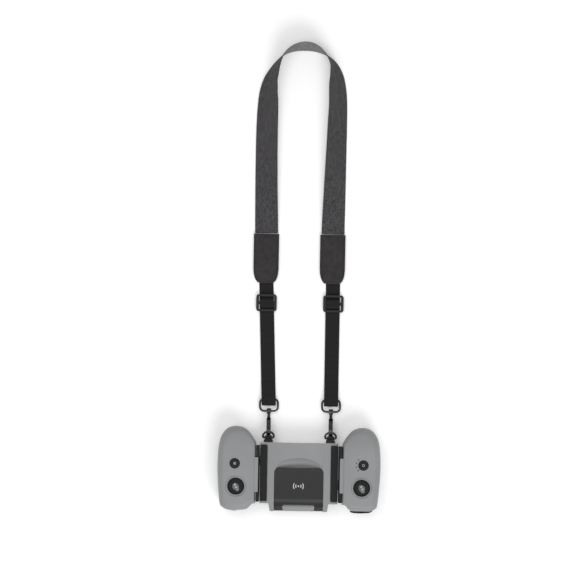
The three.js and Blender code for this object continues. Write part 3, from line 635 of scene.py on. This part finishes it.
for side in ("left", "right"):
    for face, tools in (("front", front_tools), ("back", back_tools)):
        shell = new_object(casing_half(face), f"grip_{face}_{side}_moulding", shell_grey)
        if face == "front":
            flange = cube_between(42.9, 49, -23.6, 12.7, 33.8, 37.2)
            boolean(shell, "UNION", flange)
        boolean(shell, "DIFFERENCE", *tools(side))
        round_edges(shell, 0.3, 3, 50)
        if side == "left":
            mirrored(shell)
        stand_for(shell, f"grip_{face}_{side}")
        print(shell.name, len(shell.data.polygons), "faces")

# %% [markdown]
# ## Centre body
# The centre slides between the grips. Its front carries the recess of the flap with the finger
# scoop, the pockets of the rest pads and the bar between the flap's legs.

# %% Centre body
CENTRE = [(-41, -35.6), (-31.5, -35.6), (-30, -43.8), (30, -43.8), (31.5, -35.6), (41, -35.6), (41, 27.8), (-41, 27.8)]
HINGE = Vector((0, -39.5, 20))


def rounded_block(x0, x1, y0, y1, z0, z1, radius, steps=8):
    """A slab with round corners in plan."""
    bm = bmesh.new()
    corners = [(x1, y1, 0), (x0, y1, 90), (x0, y0, 180), (x1, y0, 270)]
    ring = []
    for x, y, turn in corners:
        middle = Vector((x - math.copysign(radius, x - (x0 + x1) / 2), y - math.copysign(radius, y - (y0 + y1) / 2)))
        for i in range(steps + 1):
            angle = math.radians(turn + 90 * i / steps)
            place = middle + radius * Vector((math.cos(angle), math.sin(angle)))
            ring.append(bm.verts.new(Vector((*place, z0)) * MM))
    base = bm.faces.new(ring)
    raised = bmesh.ops.extrude_face_region(bm, geom=[base])["geom"]
    top = [item for item in raised if isinstance(item, bmesh.types.BMVert)]
    bmesh.ops.translate(bm, verts=top, vec=(0, 0, (z1 - z0) * MM))
    bmesh.ops.recalc_face_normals(bm, faces=bm.faces)
    return new_object(bm, "slab", shell_grey)


def prism_of(outline, z0, z1):
    bm = bmesh.new()
    base = bm.faces.new([bm.verts.new(Vector((x, y, z0)) * MM) for x, y in outline])
    raised = bmesh.ops.extrude_face_region(bm, geom=[base])["geom"]
    top = [item for item in raised if isinstance(item, bmesh.types.BMVert)]
    bmesh.ops.translate(bm, verts=top, vec=(0, 0, (z1 - z0) * MM))
    bmesh.ops.recalc_face_normals(bm, faces=bm.faces)
    return new_object(bm, "prism", shell_grey)


def finger_scoop():
    bm = bmesh.new()
    bmesh.ops.create_uvsphere(bm, u_segments=160, v_segments=96, radius=1)
    bmesh.ops.scale(bm, verts=bm.verts, vec=Vector((28, 13.5, 10.4)) * MM)
    bmesh.ops.translate(bm, verts=bm.verts, vec=Vector((0, 0.5, 33)) * MM)
    return new_object(bm, "scoop", shell_grey)


front = prism_of(CENTRE, 18.15, 28)
room = cube_between(-27, 27, -33, 25.8, 17, 20.6)
side_rooms = [cube_between(*sorted((s * 28.4, s * 39)), -33, 25.8, 17, 25.6) for s in (-1, 1)]
pockets = [cube_between(*sorted((s * 33.1, s * 45)), -33.5, 26, 27.1, 40) for s in (-1, 1)]
notches = [cube_between(*sorted((s * 16.3, s * 25.9)), -50, -34.4, 10, 40) for s in (-1, 1)]
recess = rounded_block(-25.9, 25.9, -60, 2.1, 22.7, 40, 5.3)
hinge_room = cube_between(-16.9, 16.9, -50, -35, 18, 40)
boolean(front, "DIFFERENCE", room, *side_rooms, recess, finger_scoop(), hinge_room, *notches, *pockets)
hinge_bar = bar_between((-16.3, HINGE.y, HINGE.z), (16.3, HINGE.y, HINGE.z), 3.9, 64)
boolean(hinge_bar, "DIFFERENCE", cube_between(-20, 20, -50, -30, 10, 18.15))
boolean(front, "UNION", hinge_bar, cube_between(-16.3, 16.3, -38.5, -34.6, 18.15, 22))
boolean(front, "DIFFERENCE", bar_between((-29, HINGE.y, HINGE.z), (29, HINGE.y, HINGE.z), 1.5, 40))
front.name = "centre_front_moulding"
round_edges(front, 0.45, 4, 38)
stand_for(front, "centre_front")
copy_of("centre_back", 0.6, 3, shell_grey)
print("centre_front", len(front.data.polygons), "faces")

# %% [markdown]
# ## Parts finished from the frame
# Straight-sided parts keep the frame's own shape. A copy of each is merged, its flat triangles are
# dissolved and its edges get the small radius that a mould, a press or a tumbler leaves. Flat pads
# get a soft edge, steel plates nearly none.

# %% Parts finished from the frame
both = ("left", "right")
copy_of("flap_cover", 0.5, 4, flap_plastic, 30)
copy_of("flap_inner_cover", 0.3, 2, black_plastic)
for side in both:
    copy_of(f"jaw_{side}", 0.45, 3, satin_black)
    copy_of(f"rest_pad_{side}", 0.5, 3, pad_rubber)
    copy_of(f"ring_base_{side}", 0.4, 3, black_plastic)
    copy_of(f"hook_{side}", 0.4, 3, plated, 32)
    copy_of(f"hook_gate_{side}", 0.3, 2, plated)
    copy_of(f"tri_glide_{side}", 0.45, 3, black_plastic)
copy_of("shoulder_button", 0.7, 4, satin_black, 30)
copy_of("dial", 0.18, 2, satin_black, 25)
copy_of("charge_socket", 0.15, 2, plain_steel)

# %% [markdown]
# ## Sticks
# Each stick is a thin dome that slides under the shell's rim, with a turned steel tip. The tip has
# a dished crown with fine knurling round its edge. Both are profiles spun round the stick's axis.

# %% Sticks
PIVOT_Z = 29
DOME_R = 11.4


def spun(profile, place, name, material, steps=128, smooth=38):
    """A closed profile of (radius, z) in millimetres, turned round a vertical axis."""
    bm = bmesh.new()
    verts = [bm.verts.new((r * MM, 0, z * MM)) for r, z in profile]
    edges = [bm.edges.new(pair) for pair in zip(verts, verts[1:] + verts[:1])]
    bmesh.ops.spin(bm, geom=verts + edges, cent=(0, 0, 0), axis=(0, 0, 1), angle=math.tau, steps=steps, use_merge=True)
    bmesh.ops.remove_doubles(bm, verts=bm.verts, dist=0.0005 * MM)
    flat = [face for face in bm.faces if face.calc_area() < 1e-16]
    bmesh.ops.delete(bm, geom=flat, context="FACES")
    bmesh.ops.recalc_face_normals(bm, faces=bm.faces)
    bmesh.ops.translate(bm, verts=bm.verts, vec=(place[0] * MM, place[1] * MM, 0))
    return new_object(bm, name, material, smooth)


def arc_of(radius, start, end, steps, height):
    turns = [math.radians(start + (end - start) * i / steps) for i in range(steps + 1)]
    return [(radius * math.cos(t), height + radius * math.sin(t)) for t in turns]


def tip_profile():
    """Half the outline of a tip: waist, knurled rim, raised ring and dished middle."""
    rim = [(3.35, 43.5), (3.55, 43.65), (3.6, 43.9), (3.6, 44.85), (3.5, 45.15), (3.3, 45.4)]
    crown = [(3.0, 45.52), (2.75, 45.5), (2.5, 45.35), (2.2, 45.05), (1.8, 44.9), (1.0, 44.8)]
    return [(0, 40.3), (2.4, 40.3), (2.3, 40.9), (2.2, 41.6), (2.35, 42.3), (2.8, 43)] + rim + crown + [(0, 44.78)]


def knurl(piece, centre, teeth=36, depth=0.16):
    """Fine teeth round the rim of a tip, cut into everything past its waist's radius."""
    bm = bmesh.new()
    bm.from_mesh(piece.data)
    for vert in bm.verts:
        away = Vector((vert.co.x - centre.x * MM, vert.co.y - centre.y * MM))
        radius = away.length / MM
        if radius > 3.2:
            wave = 0.5 - 0.5 * math.cos(teeth * math.atan2(away.y, away.x))
            scale = (radius - depth * wave) / radius
            vert.co.x, vert.co.y = centre.x * MM + away.x * scale, centre.y * MM + away.y * scale
    bm.to_mesh(piece.data)
    bm.free()


def dome(side, centre):
    outer = arc_of(DOME_R, 24, 90, 28, PIVOT_Z)[:-1] + [(0, PIVOT_Z + DOME_R)]
    inner = [(0, PIVOT_Z + 9.9)] + arc_of(9.9, 90, 24, 20, PIVOT_Z)[1:]
    piece = spun(outer + inner, centre, f"stick_{side}_dome", gloss_black)
    return stand_for(piece, f"stick_{side}")


for side, x in (("left", -STICK.x), ("right", STICK.x)):
    centre = Vector((x, STICK.y))
    dome(side, centre)
    stem = bar_between((*centre, 23), (*centre, 39.4), 2.2, 48, f"stick_{side}_stem")
    stem.data.materials[0] = plain_steel
    add_to(stem, f"stick_tip_{side}")
    tip = spun(tip_profile(), centre, f"stick_tip_{side}_turned", tip_steel[side], 288)
    knurl(tip, centre)
    stand_for(tip, f"stick_tip_{side}")
    collar_profile = [(8.8, 36.75), (9.2, 36.6), (10.82, 36.6), (10.82, 37.1), (10.6, 37.22), (9.1, 37.12)]
    collar = spun(collar_profile, centre, f"stick_{side}_collar", shell_grey)
    add_to(collar, f"stick_housing_{side}")

# %% [markdown]
# ## Buttons
# A round cap with a shallow dish and a soft edge over a wider foot that keeps it in its hole. The
# marks are generic: a square with a dot for the left button and an open ring for the right one.

# %% Buttons
CAP_TOP = 38.5


def button_profile():
    cap = [(5.2, 35.6), (5.2, 38.1), (5.12, 38.32), (4.95, 38.46), (4.7, 38.5)]
    dish = [(r, CAP_TOP - 0.1 * (1 - (r / 4.7) ** 2)) for r in (4.2, 3.4, 2.4, 1.2)]
    return [(0, 34.4), (6.2, 34.4), (6.2, 35.5), (6.1, 35.6)] + cap + dish + [(0, CAP_TOP - 0.1)]


def mark(loops, z, name, rider, thick=0.03):
    """A printed mark: flat rings between an outer and an inner loop of points."""
    bm = bmesh.new()
    for outer, inner in loops:
        around = [bm.verts.new(Vector((x, y, z)) * MM) for x, y in outer]
        if not inner:
            bm.faces.new(around)
            continue
        within = [bm.verts.new(Vector((x, y, z)) * MM) for x, y in inner]
        edges = [bm.edges.new(pair) for ring in (around, within) for pair in zip(ring, ring[1:] + ring[:1])]
        bmesh.ops.bridge_loops(bm, edges=edges)
    bmesh.ops.recalc_face_normals(bm, faces=bm.faces)
    if sum(face.normal.z for face in bm.faces) < 0:
        bmesh.ops.reverse_faces(bm, faces=bm.faces)
    bmesh.ops.solidify(bm, geom=list(bm.faces), thickness=thick * MM)
    bmesh.ops.recalc_face_normals(bm, faces=bm.faces)
    return add_to(new_object(bm, name, print_white), rider)


def circle(x, y, radius, steps=40):
    return [(x + radius * math.cos(math.tau * i / steps), y + radius * math.sin(math.tau * i / steps)) for i in range(steps)]


def square(x, y, half):
    return [(x - half, y - half), (x + half, y - half), (x + half, y + half), (x - half, y + half)]


for side, x in (("left", -BUTTON.x), ("right", BUTTON.x)):
    cap = spun(button_profile(), (x, BUTTON.y), f"button_{side}_cap", satin_black, 96)
    stand_for(cap, f"button_{side}")
button_place = {"left": (-BUTTON.x, BUTTON.y), "right": (BUTTON.x, BUTTON.y)}
left_x, mark_y = button_place["left"]
left_loops = [(square(left_x, mark_y, 1.15), square(left_x, mark_y, 0.85)), (circle(left_x, mark_y, 0.4, 20), None)]
mark(left_loops, CAP_TOP - 0.06, "button_left_mark", "button_left", 0.04)
right_loops = [(circle(BUTTON.x, mark_y, 1.25), circle(BUTTON.x, mark_y, 0.95))]
mark(right_loops, CAP_TOP - 0.06, "button_right_mark", "button_right", 0.04)
print("caps and marks made")

# %% [markdown]
# ## Strips and wires
# Webbing, leather, thread and bent wire are all a cross-section carried along a path. The first
# ring is a face, every next ring is extruded from the last, and a UV map called `cloth` holds the
# millimetres across and along for the weaves.

# %% Strips and wires
def swept(rings, closed=False):
    """A body through rings of equal size, each a list of vectors in millimetres."""
    bm = bmesh.new()
    start = [bm.verts.new(point * MM) for point in rings[0]]
    cap = bm.faces.new(start)
    edges = list(bm.edges)
    for ring in rings[1:]:
        grown = bmesh.ops.extrude_edge_only(bm, edges=edges)["geom"]
        edges = [item for item in grown if isinstance(item, bmesh.types.BMEdge)]
        loop = [item for item in grown if isinstance(item, bmesh.types.BMVert)]
        for vert, point in zip(loop, ring):
            vert.co = point * MM
    if closed:
        bm.faces.remove(cap)
        first = [edge for edge in bm.edges if edge.is_boundary and edge not in set(edges)]
        bmesh.ops.bridge_loops(bm, edges=first + edges)
    else:
        bmesh.ops.contextual_create(bm, geom=edges)
    bmesh.ops.recalc_face_normals(bm, faces=bm.faces)
    return bm


def write_cloth(piece, rings, across, along):
    """Give each corner its millimetres across and along, looked up by where its vertex lies."""
    count = len(rings[0])
    layer = piece.data.uv_layers.new(name="cloth")
    for loop in piece.data.loops:
        row, place = divmod(loop.vertex_index, count)
        layer.data[loop.index].uv = (across[place], along[row])
    return piece


def strip_section(width, thick, columns=14, swell=0.0):
    """Around a flat strip: (across, up) pairs, anticlockwise, with round selvedges."""
    half, rise = width / 2, thick / 2
    across = [half * math.sin(math.pi / 2 * (2 * i / columns - 1)) for i in range(columns + 1)]
    lower = [(x, -rise * (1 - (x / half) ** 8) ** 0.5 * (1 - swell * (x / half) ** 2)) for x in across]
    upper = [(x, -z) for x, z in reversed(lower[1:-1])]
    return lower + upper


def along_path(path, section, lean=None):
    """Rings of a section carried along points in Y and Z; lean gives X at each y."""
    rings, walked, total = [], [0.0], 0.0
    for i, point in enumerate(path):
        before, after = path[max(i - 1, 0)], path[min(i + 1, len(path) - 1)]
        forward = (after - before).normalized()
        up = Vector((0, -forward.z, forward.y))
        if i:
            total += (point - before).length
            walked.append(total)
        shift = Vector((lean(point.y), 0, 0)) if lean else Vector((0, 0, 0))
        rings.append([point + shift + Vector((x, 0, 0)) + up * z for x, z in section])
    return rings, walked


def wire(path, radius, name, material, closed=True, sides=16):
    """A round wire through points in millimetres."""
    rings = []
    count = len(path)
    up = Vector((0, 0, 1))
    for i, point in enumerate(path):
        before = path[(i - 1) % count] if closed or i else point
        after = path[(i + 1) % count] if closed or i < count - 1 else point
        forward = (after - before).normalized()
        side = forward.cross(up)
        side = side.normalized() if side.length > 0.01 else Vector((1, 0, 0))
        lift = side.cross(forward).normalized()
        turns = [math.tau * k / sides for k in range(sides)]
        rings.append([point + (side * math.cos(t) + lift * math.sin(t)) * radius for t in turns])
    return new_object(swept(rings, closed), name, material, 50)


def round_rectangle(x0, x1, y0, y1, z, radius, steps=8):
    points = []
    for x, y, turn in ((x1, y1, 0), (x0, y1, 90), (x0, y0, 180), (x1, y0, 270)):
        middle = (x - math.copysign(radius, x - (x0 + x1) / 2), y - math.copysign(radius, y - (y0 + y1) / 2))
        for i in range(steps + 1):
            angle = math.radians(turn + 90 * i / steps)
            points.append(Vector((middle[0] + radius * math.cos(angle), middle[1] + radius * math.sin(angle), z)))
    return points


# %% [markdown]
# ## Metal rings
# The D-ring hangs from its lug and its bow carries the hook; the wide ring at the hook's eye holds
# the webbing. Both are bent from round wire.

# %% Metal rings
RING_X = 32.7


def d_ring_path(x):
    half, y, z = 5.7, 32.9, 12
    path = []
    for i in range(9):
        angle = math.radians(-90 + 90 * i / 8)
        path.append(Vector((x + half - 1.2 + 1.2 * math.cos(angle), y + 1.2 + 1.2 * math.sin(angle), z)))
    for i in range(33):
        angle = math.pi * i / 32
        path.append(Vector((x + half * math.cos(angle), y + 1.6 + 4.5 * math.sin(angle), z)))
    for i in range(9):
        angle = math.radians(180 + 90 * i / 8)
        path.append(Vector((x - half + 1.2 + 1.2 * math.cos(angle), y + 1.2 + 1.2 * math.sin(angle), z)))
    return path


for side, x in (("left", -RING_X), ("right", RING_X)):
    stand_for(wire(d_ring_path(x), 1.1, f"d_ring_{side}_wire", plated), f"d_ring_{side}")
    ring_path = round_rectangle(x - 9.45, x + 9.45, 60.7, 73.3, 3.6, 4.2)
    stand_for(wire(ring_path, 1.05, f"strap_ring_{side}_wire", plated), f"strap_ring_{side}")
print("rings made")

# %% [markdown]
# ## Lower webbing
# Each lower strap runs along the ground from its leather tab, through the wide ring, round the
# ring's bar and back on top of itself to the tri-glide, where a loop of it climbs over the middle
# bar. A strap leans a little sideways between the ring and the tab.

# %% Lower webbing
LEGS = {"left": (-32.7, -37.64, -38.3), "right": (32.7, 32.62, 31.6)}  # X at ring, strip end and tab
RING_Y, TAB_Y0, TAB_Y1 = 60.7, 195.7, 247.2
LOWER_THICK = 1.2


def through(points, step):
    """Points (y, z) at an even step along a smooth curve through the given ones."""
    line = smooth_through([Vector((0, y, z)) for y, z in points], 12)
    lengths = [(b - a).length for a, b in zip(line, line[1:])]
    count = max(2, round(sum(lengths) / step))
    spaced, reached, i = [], 0.0, 0
    for k in range(count):
        goal = sum(lengths) * k / count
        while reached + lengths[i] < goal:
            reached += lengths[i]
            i += 1
        spaced.append(line[i].lerp(line[i + 1], (goal - reached) / lengths[i]))
    return spaced + [line[-1]]


LOWER_PATH = [
    (195.6, 0.85), (180, 0.85), (140, 0.85), (100, 0.85), (82, 0.9), (76, 1.05), (71.5, 1.35), (68.2, 2.0), (66.6, 3.6),
    (68.2, 5.2), (71.5, 5.8), (76, 5.2), (82, 4.0), (90, 2.6), (100, 2.22), (130, 2.2), (160, 2.2), (164.9, 2.2),
]
OVER_BAR = [(168.3, 1.9), (169.4, 2.9), (170.9, 4.9), (172.8, 5.3), (174.4, 5.15), (176, 5.3), (177.9, 4.9), (179.4, 2.9), (180.5, 1.9)]


def lower_strap(side):
    start, end = LEGS[side][:2]

    def lean(y):
        return start + (end - start) * (y - RING_Y) / (TAB_Y0 - RING_Y)

    pieces = []
    for name, path, width in (("strip", LOWER_PATH, 15.0), ("loop", OVER_BAR, 14.6)):
        section = strip_section(width, LOWER_THICK, 14)
        rings, walked = along_path(through(path, 0.8), section, lean)
        strip = new_object(swept(rings), f"lower_webbing_{side}_{name}", strap_nylon)
        write_cloth(strip, rings, [x for x, z in section], walked)
        pieces.append(strip)
    return pieces


lower_strips = {}
for side in both:
    strip, loop = lower_strap(side)
    stand_for(strip, f"lower_webbing_{side}")
    add_to(loop, f"lower_webbing_{side}")
    lower_strips[side] = (strip, loop)
print("lower straps:", [len(strip.data.polygons) for strip, _ in lower_strips.values()])

# %% [markdown]
# ## Neck webbing
# The wide band lies flat beside the controller's middle line and leans up on its outer edge as it
# goes round, so that at the far end it stands upright and shows its underside, which is painted paler
# as a lit face. Its edges are cut in small teeth by the weft, one every two or three millimetres.

# %% Neck webbing
NECK_EDGE = [
    (-50.8, 247.5, 4), (-51.3, 291, 14), (-51.5, 335, 19), (-51.1, 365, 22), (-50, 385, 28),
    (-48, 399, 38), (-43.8, 411.5, 50), (-38.2, 420.6, 62), (-31.2, 429.2, 76), (-22.6, 436.2, 91),
    (-12, 439.8, 104), (-0.6, 440.7, 110), (10.2, 439.8, 105), (20.4, 436.8, 91), (29.4, 431.2, 76),
    (35.8, 423.6, 61), (40.4, 413.8, 49), (43.2, 400.5, 41), (44.4, 386, 38), (44.7, 365, 33),
    (44.6, 335, 28), (44.4, 291, 18), (44.1, 247.5, 5),
]
NECK_WIDTH = 25.0
NECK_THICK = 1.5
TOOTH = 2.6


def neck_line(step=0.75):
    """Foot of the outer edge and the band's lean, at even steps along the ground."""
    marks = smooth_through([Vector(row) for row in NECK_EDGE], 40)
    flat = [Vector((m.x, m.y, 0)) for m in marks]
    lengths = [(b - a).length for a, b in zip(flat, flat[1:])]
    count = round(sum(lengths) / step)
    spaced, reached, i = [], 0.0, 0
    for k in range(count + 1):
        goal = sum(lengths) * k / count
        while i < len(lengths) - 1 and reached + lengths[i] < goal:
            reached += lengths[i]
            i += 1
        share = (goal - reached) / lengths[i]
        spaced.append((flat[i].lerp(flat[i + 1], share), max(0.0, marks[i].lerp(marks[i + 1], share).z)))
    return spaced, sum(lengths) / count


def neck_band():
    line, step = neck_line()
    section = strip_section(NECK_WIDTH, NECK_THICK, 22)
    rings, middle = [], []
    for i, (foot, angle) in enumerate(line):
        before, after = line[max(i - 1, 0)][0], line[min(i + 1, len(line) - 1)][0]
        forward = (after - before).normalized()
        turn = math.radians(angle)
        across = Vector((forward.y, -forward.x, 0)) * math.cos(turn) + Vector((0, 0, math.sin(turn)))
        normal = across.cross(forward).normalized()
        base = foot + Vector((0, 0, 0.25 + NECK_THICK / 2 * abs(normal.z)))
        tooth = 0.6 * abs(((i * step / TOOTH) % 1) * 2 - 1)
        wave = 0.12 * field.noise(Vector((i * step * 0.05, 3.1, 0.7)))
        ring = []
        for x, z in section:
            pull = tooth * max(0.0, abs(x) / (NECK_WIDTH / 2) - 0.9) * 10
            width = NECK_WIDTH / 2 + x - math.copysign(pull, x) + wave * (1 - abs(x) * 2 / NECK_WIDTH)
            ring.append(base + across * width - normal * z)
        rings.append(ring)
        middle.append(base + across * NECK_WIDTH / 2)
    band = new_object(swept(rings), "neck_webbing_band", neck_cloth)
    # The underside's corners get across values past REVERSE_START, so the cloth gives them its paler, painted-light
    # colours.
    across_map = [x if z <= 0 else x + 2 * REVERSE_START for x, z in section]
    write_cloth(band, rings, across_map, [i * step for i in range(len(line))])
    return band, middle


neck, neck_middle = neck_band()
stand_for(neck, "neck_webbing")
neck_length = sum((b - a).length for a, b in zip(neck_middle, neck_middle[1:]))
print(f"neck band: {len(neck.data.polygons)} faces, {neck_length:.0f} mm along its middle")

# %% [markdown]
# ## Leather tabs
# Two layers of cowhide are sewn round the join of the two webbings. A pressed edge runs all the way
# round, the seam lies in a groove inside it, and the middle is padded by the webbing between. The
# maker's lettering is left out.

# %% Leather tabs
def tab_outline(x):
    def curve(a, b, c, steps=14):
        return [a * (1 - t) ** 2 + b * 2 * t * (1 - t) + c * t * t for t in (i / steps for i in range(steps))]

    right = curve(Vector((7.9, TAB_Y0)), Vector((13.3, TAB_Y0 + 3)), Vector((13.3, TAB_Y0 + 17)))
    right += [Vector((13.3, TAB_Y0 + 17)), Vector((13.3, TAB_Y1))]
    whole = right + [Vector((-p.x, p.y)) for p in reversed(right)]
    return evened([p + Vector((x, 0)) for p in whole], 160)


TAB_LEVELS = [
    (0.35, 0.5), (0.6, 0.12), (1.6, 0.0), (2.3, 0.1), (2.45, 0.22), (2.6, 0.1), (3.3, 0.0), (4.0, 0.22), (4.15, 0.7),
    (4.12, 1.2), (3.95, 1.6), (3.95, 1.9), (4.2, 2.4), (4.42, 3.2), (4.52, 4.5), (4.55, 6.5),
]


def leather_tab(side, x):
    outline = tab_outline(x)
    rings = []
    for z, distance in TAB_LEVELS:
        ring = drawn_in(outline, distance, 0)
        rings.append([Vector((p.x, p.y, z)) for p in ring])
    return new_object(swept(rings), f"leather_tab_{side}_hide", leather, 60)


def seam(side, x, stitch=2.5):
    """Short rounded stitches laid end to end in the groove, all the way round."""
    path = drawn_in(tab_outline(x), 1.75, 0)
    closed = path + path[:1]
    count = round(sum((b - a).length for a, b in zip(closed, closed[1:])) / stitch)
    even = evened(path, count)
    bm = bmesh.new()
    for here, there in zip(even, even[1:] + even[:1]):
        middle, along = (here + there) / 2, there - here
        turn = Matrix.Rotation(math.atan2(along.y, along.x), 4, "Z")
        shape = Matrix.Diagonal((along.length * 0.44 * MM, 0.24 * MM, 0.2 * MM, 1))
        place = Matrix.Translation(Vector((middle.x, middle.y, 3.98)) * MM)
        bmesh.ops.create_uvsphere(bm, u_segments=12, v_segments=8, radius=1, matrix=place @ turn @ shape)
    return new_object(bm, f"leather_tab_{side}_seam", thread, 80)


for side in both:
    hide, stitches = leather_tab(side, LEGS[side][2]), seam(side, LEGS[side][2])
    stand_for(hide, f"leather_tab_{side}")
    add_to(stitches, f"leather_tab_{side}")

# %% [markdown]
# ## The flap's mark
# A generic transmitter sign: a dot with two arcs on either side.

# %% The flap's mark
def arc_band(x, y, radius, width, start, end, steps=18):
    turns = [math.radians(start + (end - start) * i / steps) for i in range(steps + 1)]
    outer = [(x + radius * math.cos(t), y + radius * math.sin(t)) for t in turns]
    inner = [(x + (radius - width) * math.cos(t), y + (radius - width) * math.sin(t)) for t in reversed(turns)]
    return outer + inner


sign_x, sign_y = -0.3, -17.1
bands = [(circle(sign_x, sign_y, 0.85), None)]
for radius in (3.2, 5.6):
    for turn in (0, 180):
        bands.append((arc_band(sign_x, sign_y, radius, 0.85, turn - 34, turn + 34), None))
mark(bands, 28.54, "flap_mark", "flap_cover", 0.035)

# %% [markdown]
# ## Everything inside
# Boards, batteries, pinion, racks, yokes and screws keep the frame's shapes. They only need their
# own surfaces, chosen by the slot that each one declares.

# %% Everything inside
by_slot = {
    "black_plastic": black_plastic, "nylon": nylon, "steel": plain_steel, "dark_metal": plated, "circuit_board": circuit_green,
    "foil": cell_wrap, "lens": clear_guide, "shell_grey": shell_grey, "rubber": pad_rubber,
}
for node, item in frame["nodes"].items():
    if slot_of[node] in by_slot and item.type == "MESH":
        item.data.materials.clear()
        item.data.materials.append(by_slot[slot_of[node]])

# %% [markdown]
# ## Routes of the webbings
# Each lower strap's route is a line of points from the wide ring to its leather tab, and the neck
# band's is a line of points along its middle.

# %% Routes of the webbings
for side in both:
    strip, loop = lower_strips[side]
    start, end = LEGS[side][:2]
    route = []
    for i in range(44):
        y = 67.0 + (TAB_Y0 - 0.1 - 67.0) * i / 43
        x = start + (end - start) * (y - RING_Y) / (TAB_Y0 - RING_Y)
        route.append((x * MM, y * MM, (3.4 if i == 0 else 1.8 if y < 160 else 0.9) * MM))
    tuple(route[0])
route = [tuple(point * MM) for point in neck_middle[::4]] + [tuple(neck_middle[-1] * MM)]
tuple(route[0])

# %% [markdown]
# ## Floor
# A white floor takes the soft shadows.

# %% Floor
bm = bmesh.new()
bmesh.ops.create_grid(bm, x_segments=1, y_segments=1, size=4)
floor = new_object(bm, "floor", paper_white)
